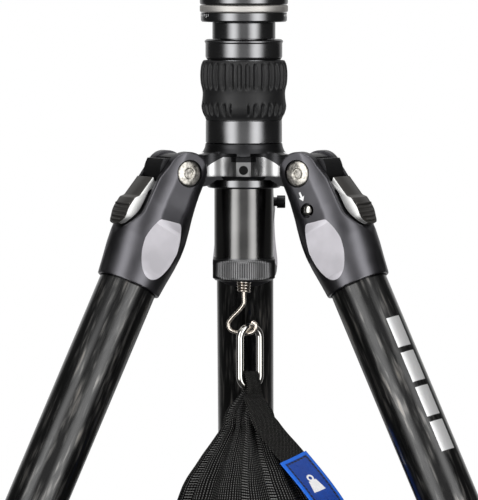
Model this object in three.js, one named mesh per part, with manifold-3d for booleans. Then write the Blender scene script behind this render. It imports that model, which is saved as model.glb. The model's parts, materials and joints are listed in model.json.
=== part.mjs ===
// Reverse-folding travel tripod with a ball head, a spring hook and a hanging ballast bag.
// Millimetres, +Z up. The origin is on the floor, under the middle of the footprint.
import * as THREE from 'three';
import { mergeVertices } from 'three/addons/utils/BufferGeometryUtils.js';
import Module from 'manifold-3d';

const wasm = await Module();
wasm.setup();

// ---- driving dimensions: millimetres and degrees ----
const gap = 0.3;                          // clearance between pieces that touch or slide
const turnGap = 0.45;                     // clearance round a tube inside a lock that turns
const legSides = 16;                      // facets round a leg's pieces
const hubSides = 20;                      // facets round the column, hub and head
const pinSides = 12;
const spread = 26;                        // lean of a leg from upright at the first stop
const legAzimuths = { a: 210, b: -30, c: 90 };
const pivotRadius = 38.3;                 // column axis to a leg's hinge pin
const pinRadius = 4;
const knuckleRadius = 9.5;                // end of a spider arm
const knuckleHalf = 8.3;
const stopRadius = 13.3;                  // stop block on the knuckle, under the angle lock
const earRadius = 10.6;                   // fork of a leg casting
const earHalf = 14.4;
const forkHalf = 8.6;
const forkDepth = 17;
const castingEnd = 60.5;
const socketTop = 46;
const tubeRadii = [14.3, 12.6, 10.9, 9.2];
const tubeWall = 1.3;
const firstTubeEnd = 316;
const lockTop = 300;
const lockLength = 30;
const lockPitch = 30.6;
const tubeTops = [46.3, 64, 67, 70];
const footTop = 391.8;
const footCentre = 408;
const footRadius = 11;
const footFlat = 0.6;                     // how far the floor cuts into the rubber
const columnRadius = 14.55;
const sleeveBore = 14.95;
const gripBottom = 24;
const gripTop = 54.4;
const columnEnd = -54;
const ringSeat = -42.7;
const headBottom = 73.3;
const ballCentre = 108;
const ballRadius = 17;
const housingRadius = 21.7;
const stemTop = 25;                       // above the ball's centre
const ballKnobSide = 270;
const panKnobSide = 30;
const hookTurn = -25;                     // heading of the hook's plane
const linkTurn = 33;                      // heading of the link's plane
const linkCentre = [3, -92.1];            // x and z of the middle of the link
const linkArc = 5.85;
const linkBar = 1.85;
const linkStraight = 18.2;
const bagTop = -113;
const bagBottom = -252;

const deg = THREE.MathUtils.degToRad;
const pivotHeight = footCentre * Math.cos(deg(spread)) + footRadius - footFlat;

// ---- finishes ----
const finish = (color, roughness, metalness) => new THREE.MeshStandardMaterial({ color, roughness, metalness });
const satinGrey = finish(0x55535c, 0.42, 0.7);
const satinBlack = finish(0x141417, 0.38, 0.5);
const polishedDark = finish(0x1c1c20, 0.16, 0.8);
const brightSteel = finish(0xb9b6ae, 0.25, 1);
const chrome = finish(0xd6d6d8, 0.08, 1);
const carbon = finish(0x18161a, 0.3, 0.1);
const rubber = finish(0x17181a, 0.75, 0);
const meshCloth = finish(0x121214, 0.9, 0);
const blueTape = finish(0x1d4fb4, 0.35, 0);

// ---- shape helpers ----
function toSolid(geometry) {
  const bare = geometry.clone();
  bare.deleteAttribute('normal');
  bare.deleteAttribute('uv');
  const merged = mergeVertices(bare, 1e-4);
  const position = merged.attributes.position;
  const index = Array.from(merged.index.array);
  const corners = [new THREE.Vector3(), new THREE.Vector3(), new THREE.Vector3()];
  const faces = [];
  let volume = 0;
  for (let i = 0; i < index.length; i += 3) {
    const [a, b, c] = index.slice(i, i + 3);
    if (a === b || b === c || c === a) continue;
    corners.forEach((corner, k) => corner.fromBufferAttribute(position, index[i + k]));
    volume += corners[0].dot(corners[1].clone().cross(corners[2]));
    faces.push([a, b, c]);
  }
  const triVerts = new Uint32Array(faces.flatMap(([a, b, c]) => (volume < 0 ? [a, c, b] : [a, b, c])));
  const vertProperties = new Float32Array(position.array);
  return new wasm.Manifold(new wasm.Mesh({ numProp: 3, vertProperties, triVerts }));
}

function toGeometry(solid) {
  const mesh = solid.getMesh();
  const geometry = new THREE.BufferGeometry();
  geometry.setAttribute('position', new THREE.BufferAttribute(mesh.vertProperties, 3));
  geometry.setIndex(new THREE.BufferAttribute(mesh.triVerts, 1));
  return geometry;
}

// A profile of [radius, height] points turned about Z.
function turned(points, segments = hubSides) {
  const profile = points.map(([r, z]) => new THREE.Vector2(r, z));
  return toSolid(new THREE.LatheGeometry(profile, segments).rotateX(Math.PI / 2));
}

function ringOf(outer, inner, low, high, segments = hubSides) {
  return turned([[inner, low], [outer, low], [outer, high], [inner, high], [inner, low]], segments);
}

function discOf(radius, low, high, segments = hubSides) {
  return turned([[0, low], [radius, low], [radius, high], [0, high]], segments);
}

// A cylinder along Y, centred at (x, z).
function crossPin(radius, low, high, x = 0, z = 0, segments = pinSides) {
  const geometry = new THREE.CylinderGeometry(radius, radius, high - low, segments);
  return toSolid(geometry.translate(x, (low + high) / 2, z));
}

function block(x0, x1, y0, y1, z0, z1) {
  const geometry = new THREE.BoxGeometry(x1 - x0, y1 - y0, z1 - z0);
  return toSolid(geometry.translate((x0 + x1) / 2, (y0 + y1) / 2, (z0 + z1) / 2));
}

// An outline in X and Z, drawn out along Y to both sides.
function slab(shape, halfWidth, curveSegments = 6) {
  const geometry = new THREE.ExtrudeGeometry(shape, { depth: 2 * halfWidth, bevelEnabled: false, curveSegments });
  return toSolid(geometry.translate(0, 0, -halfWidth).rotateX(Math.PI / 2));
}

// A round or flat bar along a curve.
function barAlong(curve, section, steps) {
  return toSolid(new THREE.ExtrudeGeometry(section, { extrudePath: curve, steps, bevelEnabled: false, curveSegments: 2 }));
}

function roundSection(radius, sides) {
  const shape = new THREE.Shape();
  for (let i = 0; i < sides; i += 1) {
    const angle = (2 * Math.PI * i) / sides;
    const corner = [radius * Math.cos(angle), radius * Math.sin(angle)];
    if (i === 0) shape.moveTo(...corner);
    else shape.lineTo(...corner);
  }
  return shape;
}

function named(name, solid, material) {
  const mesh = new THREE.Mesh(toGeometry(solid), material);
  mesh.name = name;
  return mesh;
}

// ---- centre: spider, column lock, column ----
function spider() {
  const lowestRing = -3.8;
  let body = turned([[0, lowestRing], [17.8, lowestRing], [17.8, -2], [16.9, -1.6], [16.9, 6], [20.2, 9.5],
    [18.75, 13.4], [18.75, 23.7], [0, 23.7]]);
  Object.values(legAzimuths).forEach((azimuth) => {
    const arm = new THREE.Shape();
    arm.moveTo(12, lowestRing);
    arm.lineTo(20, lowestRing);
    arm.lineTo(25, -6.5);
    arm.absarc(pivotRadius, 0, knuckleRadius, deg(232), deg(348), false);
    arm.absarc(pivotRadius, 0, stopRadius, deg(348), deg(400), false);
    arm.absarc(pivotRadius, 0, knuckleRadius, deg(400), deg(470), false);
    arm.lineTo(24, 9.9);
    arm.lineTo(19, 14.5);
    arm.lineTo(12, 14.5);
    const hole = crossPin(pinRadius + gap, -30, 30, pivotRadius, 0);
    body = body.add(slab(arm, knuckleHalf).subtract(hole).rotate([0, 0, azimuth]));
    const boss = block(12, 17.9, -5.4, 5.4, -2.5, 6).rotate([0, 0, azimuth + 60]);
    const port = discOf(2.25, 14, 19, pinSides).rotate([0, 90, azimuth + 60]);
    body = body.add(boss).subtract(port);
  });
  return named('spider', body.subtract(discOf(sleeveBore, -20, 40)), satinBlack);
}

function spiderBottomRing() {
  const ring = [[sleeveBore, -8.1], [16.8, -8.1], [18.2, -7], [18.2, -4.1], [sleeveBore, -4.1], [sleeveBore, -8.1]];
  return named('spider_bottom_ring', turned(ring), polishedDark);
}

function columnLockSleeve() {
  const outline = [[sleeveBore, gripBottom], [17.4, gripBottom], [17.4, gripTop + gap], [18.2, gripTop + gap],
    [18.9, 55.8], [18.9, 63.4], [18.3, 64.7], [sleeveBore, 64.7], [sleeveBore, gripBottom]];
  return named('column_lock_sleeve', turned(outline), polishedDark);
}

function columnLockGrip() {
  const bore = 17.4 + gap;
  const outline = [[bore, gripBottom], [18.7, gripBottom], [19.3, 26.5], [20.8, 31.5], [20.3, 36.5], [20.6, 40],
    [21.45, 46], [21.1, 51], [19.9, gripTop], [bore, gripTop], [bore, gripBottom]];
  return named('column_lock_grip', turned(outline), rubber);
}

function columnPieces() {
  const wall = 1.6;
  const tube = ringOf(columnRadius, columnRadius - wall, -50, 64.7);
  const boss = turned([[0, 56], [columnRadius - wall - gap, 56], [columnRadius - wall - gap, 65], [15.5, 65],
    [15.5, 73], [4.7, 73], [4.7, 79.5], [0, 79.5]]);
  const ring = turned([[3.6, columnEnd], [14.6, columnEnd], [15.35, -53.2], [15.35, -43.5], [15, ringSeat],
    [columnRadius + gap, ringSeat], [columnRadius + gap, -50.3], [3.6, -50.3], [3.6, columnEnd]]);
  return [
    named('column_tube', tube, polishedDark),
    named('column_top_boss', boss, polishedDark),
    named('column_end_ring', ring, polishedDark),
  ];
}

// ---- spring hook, link and bag ----
class Helix extends THREE.Curve {
  constructor(radius, low, high, turns) {
    super();
    Object.assign(this, { radius, low, high, turns });
  }

  getPoint(t, target = new THREE.Vector3()) {
    const angle = 2 * Math.PI * this.turns * t;
    const height = this.high + (this.low - this.high) * t;
    return target.set(this.radius * Math.cos(angle), this.radius * Math.sin(angle), height);
  }
}

function hookPieces() {
  const spring = barAlong(new Helix(2.9, -59.4, -52.5, 4.5), roundSection(0.6, 5), 36);
  // distance along the hook's plane, and height
  const route = [[0, -60.4], [0, -65.6], [-2, -68.5], [-6.6, -73], [-8.5, -76], [-7.2, -79], [-2.2, -80.3],
    [2.6, -80.4], [5.8, -79], [6.6, -76], [4.6, -74.6]];
  const heading = deg(hookTurn);
  const points = route.map(([u, z]) => new THREE.Vector3(u * Math.cos(heading), u * Math.sin(heading), z));
  const hook = barAlong(new THREE.CatmullRomCurve3(points), roundSection(1, 6), 24);
  return [named('hook_spring', spring, brightSteel), named('weight_hook', hook, brightSteel)];
}

// A ring of round bar, with its halves pulled apart into a long link.
function snapRing() {
  const bar = [];
  for (let i = 0; i <= 8; i += 1) {
    const angle = (2 * Math.PI * i) / 8;
    bar.push(new THREE.Vector2(linkArc + linkBar * Math.cos(angle), linkBar * Math.sin(angle)));
  }
  const segments = 14;
  const geometry = new THREE.LatheGeometry(bar, segments, Math.PI / segments);
  const position = geometry.attributes.position;
  for (let i = 0; i < position.count; i += 1) {
    position.setZ(i, position.getZ(i) + (Math.sign(position.getZ(i)) * linkStraight) / 2);
  }
  const [x, z] = linkCentre;
  return named('snap_ring', toSolid(geometry).rotate([0, 0, linkTurn]).translate([x, 0, z]), chrome);
}

function ballastBag() {
  const outline = [[0, bagTop], [5, bagTop], [9, -120], [24, -137], [32, -147], [38, -157], [43.5, -172],
    [46, -190], [45.5, -212], [41, -232], [30, -247], [0, bagBottom]];
  const profile = outline.map(([r, z]) => new THREE.Vector2(r, z));
  const geometry = new THREE.LatheGeometry(profile, legSides).rotateX(Math.PI / 2);
  const position = geometry.attributes.position;
  const height = bagTop - bagBottom;
  for (let i = 0; i < position.count; i += 1) {
    const down = (bagTop - position.getZ(i)) / height;
    const lean = Math.sin(2 * Math.PI * down) * (down < 0.5 ? 5.5 : 3);
    position.setX(i, position.getX(i) + linkCentre[0] + lean);
  }
  return named('ballast_bag', toSolid(geometry), meshCloth);
}

// A flat band, its width turned by the link's heading so that it passes squarely through the link.
function bandSection(width, thickness) {
  const across = new THREE.Vector2(Math.cos(deg(linkTurn)), Math.sin(deg(linkTurn)));
  const shape = new THREE.Shape();
  [[-1, -1], [1, -1], [1, 1], [-1, 1]].forEach(([u, v], i) => {
    const x = (u * width * across.x - v * thickness * across.y) / 2;
    const y = (u * width * across.y + v * thickness * across.x) / 2;
    if (i === 0) shape.moveTo(x, y);
    else shape.lineTo(x, y);
  });
  return shape;
}

// The webbing goes through the link, and down the bag's right side with the label on its end.
function strapPieces() {
  const labelTop = -139;
  const backToFront = 2.9;
  const heading = deg(linkTurn - 90);
  const lowBar = linkCentre[1] - linkStraight / 2 - linkArc;
  const start = [[-backToFront, -4.6], [-backToFront, 1.8], [0, 5.3], [backToFront, 1.8], [3.3, -3.5]].map(([out, up]) => (
    new THREE.Vector3(linkCentre[0] + out * Math.cos(heading), out * Math.sin(heading), lowBar + up)));
  const rest = [[7, -8.5, -114], [12, -16, -121], [18.5, -24.5, -131], [26, -31, -142], [36, -36.5, -154],
    [44, -39.5, -166], [50, -41, -177]];
  const route = new THREE.CatmullRomCurve3([...start, ...rest.map((p) => new THREE.Vector3(...p))]);
  const below = block(-100, 100, -100, 100, -300, labelTop);
  const strap = barAlong(route, bandSection(6.5, 1.2), 30).subtract(below.translate([0, 0, gap]));
  const label = barAlong(route, bandSection(13.5, 1), 30).intersect(below);
  return [named('bag_strap', strap, meshCloth), named('bag_label', label, blueTape)];
}

// ---- one leg, in its own axes: X outwards from the leg, Y across it, Z up along it from the hinge ----
function castingOutline() {
  const shape = new THREE.Shape();
  shape.moveTo(earRadius, 0);
  shape.absarc(0, 0, earRadius, 0, Math.PI, false);
  shape.bezierCurveTo(-earRadius, -8, -12.5, -18, -14.6, -26);
  shape.bezierCurveTo(-16.6, -33, -19.4, -37, -18.4, -43);
  shape.bezierCurveTo(-17.4, -49, -16, -54, -16, -castingEnd);
  shape.lineTo(16, -castingEnd);
  shape.bezierCurveTo(16, -54, 17.4, -49, 18.4, -43);
  shape.bezierCurveTo(18.8, -38, 17, -34, 15.2, -31);
  shape.lineTo(13.3, -27);
  shape.lineTo(12.8, -7);
  return shape;
}

function legCasting(hasButton) {
  const flats = new THREE.Shape();                 // the two side faces, opening slightly downwards
  flats.moveTo(-earHalf, 12);
  flats.lineTo(-earHalf, -25);
  flats.lineTo(-16.4, -castingEnd - 1);
  flats.lineTo(16.4, -castingEnd - 1);
  flats.lineTo(earHalf, -25);
  flats.lineTo(earHalf, 12);
  const barrel = [[0, 12], [19, 12], [18.8, -20], [18.8, -38], [18, -45], [16, -castingEnd], [0, -castingEnd]];
  const profile = barrel.map(([r, z]) => new THREE.Vector2(r, z));
  const round = new THREE.LatheGeometry(profile, legSides).rotateX(Math.PI / 2);
  const position = round.attributes.position;
  for (let i = 0; i < position.count; i += 1) {
    const fromEnd = Math.min(1, Math.max(0, (position.getZ(i) + castingEnd) / 22));
    position.setY(i, position.getY(i) * (1 - 0.085 * fromEnd));
  }
  let body = slab(castingOutline(), 20, 4).intersect(toSolid(round));
  body = body.intersect(slab(flats, 25).rotate([0, 0, 90]));
  body = body.subtract(block(-25, 25, -forkHalf, forkHalf, -forkDepth, 20));
  body = body.subtract(crossPin(pinRadius + gap, -20, 20));
  [-1, 1].forEach((side) => {
    const recess = [12.3 * side, 16 * side].sort((p, q) => p - q);
    body = body.subtract(crossPin(6.8, ...recess));
  });
  body = body.subtract(discOf(tubeRadii[0] + gap, -70, -socketTop, legSides));
  if (hasButton) body = body.subtract(crossPin(3.6, -20, -9.2, -2.5, -18.5));
  return body;
}

function pivotBolt() {
  const shank = crossPin(pinRadius, -12.8, 12.8);
  const head = crossPin(6.2, 12.6, 14.2).add(crossPin(6.2, -14.2, -12.6));
  const socket = crossPin(1.9, -16, -12.8, 0, 0, 6);
  return shank.add(head).subtract(socket);
}

function angleLockTab() {
  const shape = new THREE.Shape();
  shape.moveTo(14.5, -8.5);
  shape.lineTo(17.3, -20);
  shape.lineTo(19, -21.8);
  shape.lineTo(20.2, -28);
  shape.lineTo(19.8, -33);
  shape.lineTo(20.4, -36);
  shape.lineTo(18.7, -36.3);
  shape.lineTo(17, -32.5);
  shape.lineTo(14.2, -26);
  shape.lineTo(13.8, -16);
  shape.absarc(11.3, -12.3, 2.4, deg(-50), deg(-280), true);
  return slab(shape, 8, 4);
}

function twistLock(index) {
  const outer = tubeRadii[index] + 2.4;
  const upper = tubeRadii[index] + turnGap;
  const lower = tubeRadii[index + 1] + turnGap;
  const top = -(lockTop + index * lockPitch);
  const bottom = top - lockLength;
  const step = top - (firstTubeEnd - lockTop) - gap;
  return turned([[lower, bottom], [outer - 1.4, bottom], [outer, bottom + 2.5], [outer, top - 3], [outer - 1, top],
    [upper, top], [upper, step], [lower, step], [lower, bottom]], legSides);
}

function foot() {
  const bore = tubeRadii[3] + gap;
  const profile = [[0, -401.5], [bore, -401.5], [bore, -footTop], [12.1, -footTop], [12.6, -398], [11.7, -404]];
  for (let i = 0; i <= 4; i += 1) {
    const angle = (Math.PI / 8) * i;
    profile.push([footRadius * Math.cos(angle), -footCentre - footRadius * Math.sin(angle)]);
  }
  profile[profile.length - 1][0] = 0;
  const floor = block(-40, 40, -40, 40, -60, -(footRadius - footFlat)).rotate([0, spread, 0]);
  return turned(profile, legSides).subtract(floor.translate([0, 0, -footCentre]));
}

function releaseButton() {
  const stem = crossPin(2.5, -14.6, -11, -2.5, -18.5);
  return named('leg_release_button', stem, chrome);
}

function accessoryStud() {
  const base = crossPin(2.3, -16.2, -14.7, -2.5, -18.5);
  const head = crossPin(3.2, -20.4, -16.2, -2.5, -18.5);
  return named('accessory_stud', base.add(head), satinBlack);
}

function leg(letter) {
  const group = new THREE.Group();
  group.rotation.y = -deg(spread);
  group.add(
    named(`casting_${letter}`, legCasting(letter === 'b'), satinGrey),
    named(`pivot_bolt_${letter}`, pivotBolt(), brightSteel),
    named(`angle_lock_tab_${letter}`, angleLockTab(), satinGrey),
    named(`foot_${letter}`, foot(), rubber),
  );
  tubeRadii.forEach((radius, i) => {
    const end = firstTubeEnd + i * lockPitch - (i === 3 ? 8 : 0);
    const tube = ringOf(radius, radius - tubeWall, -end, -tubeTops[i], legSides);
    group.add(named(`tube_${i + 1}_${letter}`, tube, carbon));
    if (i < 3) group.add(named(`twist_lock_${i + 1}_${letter}`, twistLock(i), satinBlack));
  });
  if (letter === 'b') group.add(releaseButton());
  if (letter === 'c') group.add(accessoryStud());
  return group;
}

// ---- ball head ----
function headBasePieces() {
  const base = turned([[5, headBottom], [20.6, headBottom], [21.2, headBottom + 0.6], [21.2, 77.8], [5, 77.8],
    [5, headBottom]]);
  const index = turned([[5, 78.1], [21.2, 78.1], [21.7, 78.6], [21.7, 81], [21.3, 81.5], [5, 81.5], [5, 78.1]]);
  return [named('head_base', base, satinBlack), named('pan_index_ring', index, chrome)];
}

function ballHousing() {
  const cavity = ballRadius + 0.8;
  const rim = ballCentre + 4.1;
  const ball = toSolid(new THREE.SphereGeometry(cavity, hubSides, 12).rotateX(Math.PI / 2).translate(0, 0, ballCentre));
  const shell = turned([[0, 81.8], [21.3, 81.8], [housingRadius, 82.4], [housingRadius, 101], [20.8, rim - 2],
    [19.4, rim], [0, rim]]);
  const notch = block(-30, 0, -7.2, 7.2, ballCentre - 7, 140);
  const knobHoles = [[ballKnobSide, 100, 4.3], [panKnobSide, 92, 2.8]].map(([azimuth, height, radius]) => (
    discOf(radius, 17.6, 30, pinSides).rotate([0, 90, azimuth]).translate([0, 0, height])));
  const body = knobHoles.reduce((rest, hole) => rest.subtract(hole), shell.subtract(ball).subtract(notch));
  return named('ball_housing', body, satinBlack);
}

function knob(azimuth, height, shaft, radius, near, far) {
  const profile = [[0, near - 2.2], [shaft, near - 2.2], [shaft, near], [radius - 1, near], [radius, near + 1],
    [radius, far - 1.5], [radius - 1.5, far], [0, far]];
  return turned(profile, legSides).rotate([0, 90, azimuth]).translate([0, 0, height]);
}

function ballPieces() {
  const ball = new THREE.SphereGeometry(ballRadius, hubSides, 12).rotateX(Math.PI / 2).translate(0, 0, ballCentre);
  const seat = ballRadius + gap;
  const stem = [];
  for (let i = 0; i <= 2; i += 1) {
    const angle = deg(9.2 * i);
    stem.push([seat * Math.sin(angle), ballCentre + seat * Math.cos(angle)]);
  }
  stem.push([5.4, ballCentre + 21.6], [11, ballCentre + 23], [12, ballCentre + stemTop], [0, ballCentre + stemTop]);
  return [
    named('ball', toSolid(ball), brightSteel),
    named('ball_stem', turned(stem), satinBlack),
  ];
}

function clampPieces() {
  const floor = ballCentre + stemTop + gap;
  const bodyShape = new THREE.Shape();
  bodyShape.moveTo(-22, floor);
  bodyShape.lineTo(13, floor);
  bodyShape.lineTo(13, floor + 7);
  bodyShape.lineTo(-17.5, floor + 7);
  bodyShape.lineTo(-15, floor + 11.5);
  bodyShape.lineTo(-16, floor + 13);
  bodyShape.lineTo(-22, floor + 13);
  const jawShape = new THREE.Shape();
  jawShape.moveTo(13.3, floor + 0.5);
  jawShape.lineTo(20, floor + 0.5);
  jawShape.lineTo(20, floor + 13);
  jawShape.lineTo(16, floor + 13);
  jawShape.lineTo(15, floor + 11.5);
  jawShape.lineTo(17.5, floor + 7.3);
  jawShape.lineTo(13.3, floor + 7.3);
  const screwHole = discOf(3, 12, 30, pinSides).rotate([0, 90, 0]).translate([0, 0, floor + 3.7]);
  const blind = discOf(3, 4, 16, pinSides).rotate([0, 90, 0]).translate([0, 0, floor + 3.7]);
  const turnKnob = turned([[0, 6], [2.6, 6], [2.6, 20.3], [7, 20.3], [8, 21.3], [8, 30.5], [6.5, 32], [0, 32]], legSides);
  return [
    named('clamp_body', slab(bodyShape, 19).subtract(blind), satinBlack),
    named('clamp_jaw', slab(jawShape, 19).subtract(screwHole), satinBlack),
    named('clamp_knob', turnKnob.rotate([0, 90, 0]).translate([0, 0, floor + 3.7]), satinBlack),
  ];
}

function platePieces() {
  const low = ballCentre + stemTop + 7 + 2 * gap;
  const shape = new THREE.Shape();
  shape.moveTo(-16.9, low + 0.3);
  shape.lineTo(16.9, low + 0.3);
  shape.lineTo(14.4, low + 4.6);
  shape.lineTo(15.4, low + 6.6);
  shape.lineTo(19, low + 7.6);
  shape.lineTo(19, low + 11);
  shape.lineTo(-19, low + 11);
  shape.lineTo(-19, low + 7.6);
  shape.lineTo(-15.4, low + 6.6);
  shape.lineTo(-14.4, low + 4.6);
  const pocket = discOf(7.8, low - 1, low + 6.5, legSides).add(discOf(3.5, low, low + 12, legSides));
  const screw = turned([[0, low + 1.2], [7.4, low + 1.2], [7.4, low + 6.2], [3.15, low + 6.2], [3.15, low + 15.5],
    [2.6, low + 16], [0, low + 16]], legSides);
  return [
    named('quick_release_plate', slab(shape, 25).subtract(pocket), satinBlack),
    named('camera_screw', screw, brightSteel),
  ];
}

// ---- the whole tripod ----
const tripod = new THREE.Group();
tripod.add(spider(), spiderBottomRing(), columnLockSleeve(), columnLockGrip(), ...columnPieces());
tripod.add(...hookPieces(), snapRing(), ballastBag(), ...strapPieces());
tripod.add(...headBasePieces(), ballHousing(), ...ballPieces(), ...clampPieces(), ...platePieces());
tripod.add(named('ball_lock_knob', knob(ballKnobSide, 100, 4, 9.5, 22.2, 37.5), satinBlack));
tripod.add(named('pan_lock_knob', knob(panKnobSide, 92, 2.5, 5.5, 22.2, 32), satinBlack));

Object.entries(legAzimuths).forEach(([letter, azimuth]) => {
  const side = new THREE.Group();
  side.rotation.z = deg(azimuth);
  const hinge = leg(letter);
  hinge.position.x = pivotRadius;
  side.add(hinge);
  tripod.add(side);
});

// Heights above are from the hinge pins' plane. The feet stand on Z = 0, centred front to back.
tripod.position.z = pivotHeight;
tripod.updateMatrixWorld(true);
const bounds = new THREE.Box3().setFromObject(tripod, true);
tripod.position.y = -(bounds.min.y + bounds.max.y) / 2;
tripod.position.x = -(bounds.min.x + bounds.max.x) / 2;
tripod.updateMatrixWorld(true);

const model = new THREE.Group();
model.add(tripod);
model.updateMatrixWorld(true);

export default model;
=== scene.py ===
# Reverse-folding travel tripod: column, ball head, three carbon legs, spring hook and ballast bag.
# Shapes are drawn in millimetres about the leg hinges' plane, and placed from the frame's joints.
import bpy
import bmesh
import json
import math
import random
from mathutils import Matrix, Vector, noise


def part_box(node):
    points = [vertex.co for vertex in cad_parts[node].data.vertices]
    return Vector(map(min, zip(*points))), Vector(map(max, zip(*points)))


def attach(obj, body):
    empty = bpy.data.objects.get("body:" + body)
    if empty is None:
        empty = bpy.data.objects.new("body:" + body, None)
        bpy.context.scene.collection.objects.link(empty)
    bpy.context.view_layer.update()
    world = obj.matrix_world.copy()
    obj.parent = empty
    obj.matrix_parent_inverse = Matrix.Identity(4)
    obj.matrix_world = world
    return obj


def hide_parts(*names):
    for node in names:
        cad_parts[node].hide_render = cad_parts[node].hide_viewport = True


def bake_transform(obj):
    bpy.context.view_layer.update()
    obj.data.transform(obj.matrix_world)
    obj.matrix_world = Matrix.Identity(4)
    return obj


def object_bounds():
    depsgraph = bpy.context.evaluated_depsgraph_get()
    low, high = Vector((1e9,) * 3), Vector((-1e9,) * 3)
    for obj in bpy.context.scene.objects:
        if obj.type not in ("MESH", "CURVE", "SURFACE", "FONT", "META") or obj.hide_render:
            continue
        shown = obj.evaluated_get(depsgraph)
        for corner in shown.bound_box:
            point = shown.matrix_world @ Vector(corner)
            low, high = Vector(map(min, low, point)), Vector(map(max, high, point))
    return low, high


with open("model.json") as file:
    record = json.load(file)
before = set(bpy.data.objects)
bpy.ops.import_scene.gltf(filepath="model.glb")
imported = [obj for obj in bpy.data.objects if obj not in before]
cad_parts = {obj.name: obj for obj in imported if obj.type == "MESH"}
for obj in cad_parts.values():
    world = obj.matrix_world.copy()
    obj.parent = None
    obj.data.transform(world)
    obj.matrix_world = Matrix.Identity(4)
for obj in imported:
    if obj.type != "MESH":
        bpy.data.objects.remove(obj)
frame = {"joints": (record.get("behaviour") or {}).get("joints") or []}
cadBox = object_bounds()
scene = bpy.context.scene
joints = {joint["name"]: joint for joint in frame["joints"]}
legLetters = ("a", "b", "c")
mm = 0.001


# ---- where things are ----
def placeAt(origin, xAxis, yAxis, zAxis):
    turn = Matrix((xAxis, yAxis, zAxis)).transposed().to_4x4()
    return Matrix.Translation(origin) @ turn @ Matrix.Scale(mm, 4)


def boxCentre(node):
    low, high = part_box(node)
    return (Vector(low) + Vector(high)) / 2


def legPlace(letter):  # x outwards, y across, z up along the leg, from its hinge
    pivot = Vector(joints["leg_fold_" + letter]["pos_m"])
    up = -Vector(joints["extend_2_" + letter]["axis"])
    across = -Vector(joints["leg_fold_" + letter]["axis"])
    return placeAt(pivot, across.cross(up), across, up)


hub = boxCentre("column_tube")
hub.z = joints["leg_fold_a"]["pos_m"][2]
hubPlace = placeAt(hub, (1, 0, 0), (0, 1, 0), (0, 0, 1))
legPlaces = {letter: legPlace(letter) for letter in legLetters}


def headingOf(letter):
    pivot = Vector(joints["leg_fold_" + letter]["pos_m"]) - hub
    return math.atan2(pivot.y, pivot.x)


# ---- camera ----
view = {
    "aim": (-2.4, 0, -39.2),   # from the hub, mm
    "distance": 2466,
    "down": 3.66,              # degrees
    "round": 0.6,
    "lens": 360,
}
camera = bpy.data.cameras.new("camera")
camera.lens = view["lens"]
camera.clip_end = 50
cameraObject = bpy.data.objects.new("camera", camera)
scene.collection.objects.link(cameraObject)
scene.camera = cameraObject
aimPoint = hub + Vector(view["aim"]) * mm
cameraTurn = Matrix.Rotation(math.radians(view["round"]), 4, "Z")
cameraTurn = cameraTurn @ Matrix.Rotation(math.radians(90 - view["down"]), 4, "X")
cameraObject.matrix_world = (Matrix.Translation(aimPoint) @ cameraTurn
                             @ Matrix.Translation((0, 0, view["distance"] * mm)))


# ---- shape helpers ----
def rounded(points, closed=False, steps=4):
    # a third number on a point is how far its corner is cut back
    result = []
    for i, point in enumerate(points):
        corner = Vector(point[:2])
        reach = point[2] if len(point) > 2 else 0
        if reach == 0 or (not closed and i in (0, len(points) - 1)):
            result.append(corner)
            continue
        before = Vector(points[i - 1][:2]) - corner
        after = Vector(points[(i + 1) % len(points)][:2]) - corner
        start = corner + before.normalized() * min(reach, before.length * 0.49)
        end = corner + after.normalized() * min(reach, after.length * 0.49)
        for k in range(steps + 1):
            t = k / steps
            result.append(start * (1 - t) ** 2 + corner * 2 * t * (1 - t) + end * t ** 2)
    return result


def spun(points, closed=False, steps=96, soft=4):
    profile = rounded(points, closed, soft)
    bm = bmesh.new()
    verts = [bm.verts.new((p.x, 0, p.y)) for p in profile]
    pairs = list(zip(verts, verts[1:])) + ([(verts[-1], verts[0])] if closed else [])
    edges = [bm.edges.new(pair) for pair in pairs]
    bmesh.ops.spin(bm, geom=verts + edges, cent=(0, 0, 0), axis=(0, 0, 1), dvec=(0, 0, 0),
                   angle=2 * math.pi, steps=steps, use_merge=True, use_duplicate=False)
    bmesh.ops.remove_doubles(bm, verts=bm.verts, dist=1e-4)
    bmesh.ops.recalc_face_normals(bm, faces=bm.faces)
    return bm


def bevelSharp(bm, amount, segments=2, angle=25):
    sharp = [e for e in bm.edges if e.is_manifold and e.calc_face_angle(0) > math.radians(angle)]
    bmesh.ops.bevel(bm, geom=sharp, offset=amount, offset_type="OFFSET", affect="EDGES",
                    segments=segments, profile=0.5, material=-1, clamp_overlap=True)
    return bm


def drawnOut(outline, halfWidth, bevel=0, segments=2, angle=25):
    # an outline in x and z, drawn out along y to both sides
    bm = bmesh.new()
    face = bm.faces.new([bm.verts.new((p[0], -halfWidth, p[1])) for p in outline])
    grown = bmesh.ops.extrude_face_region(bm, geom=[face])
    moved = [v for v in grown["geom"] if isinstance(v, bmesh.types.BMVert)]
    bmesh.ops.translate(bm, verts=moved, vec=(0, 2 * halfWidth, 0))
    bmesh.ops.recalc_face_normals(bm, faces=bm.faces)
    return bevelSharp(bm, bevel, segments, angle) if bevel else bm


def blockOf(low, high, bevel=0):
    bm = bmesh.new()
    bmesh.ops.create_cube(bm, size=1)
    low, high = Vector(low), Vector(high)
    bmesh.ops.scale(bm, verts=bm.verts, vec=high - low)
    bmesh.ops.translate(bm, verts=bm.verts, vec=(low + high) / 2)
    return bevelSharp(bm, bevel) if bevel else bm


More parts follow.
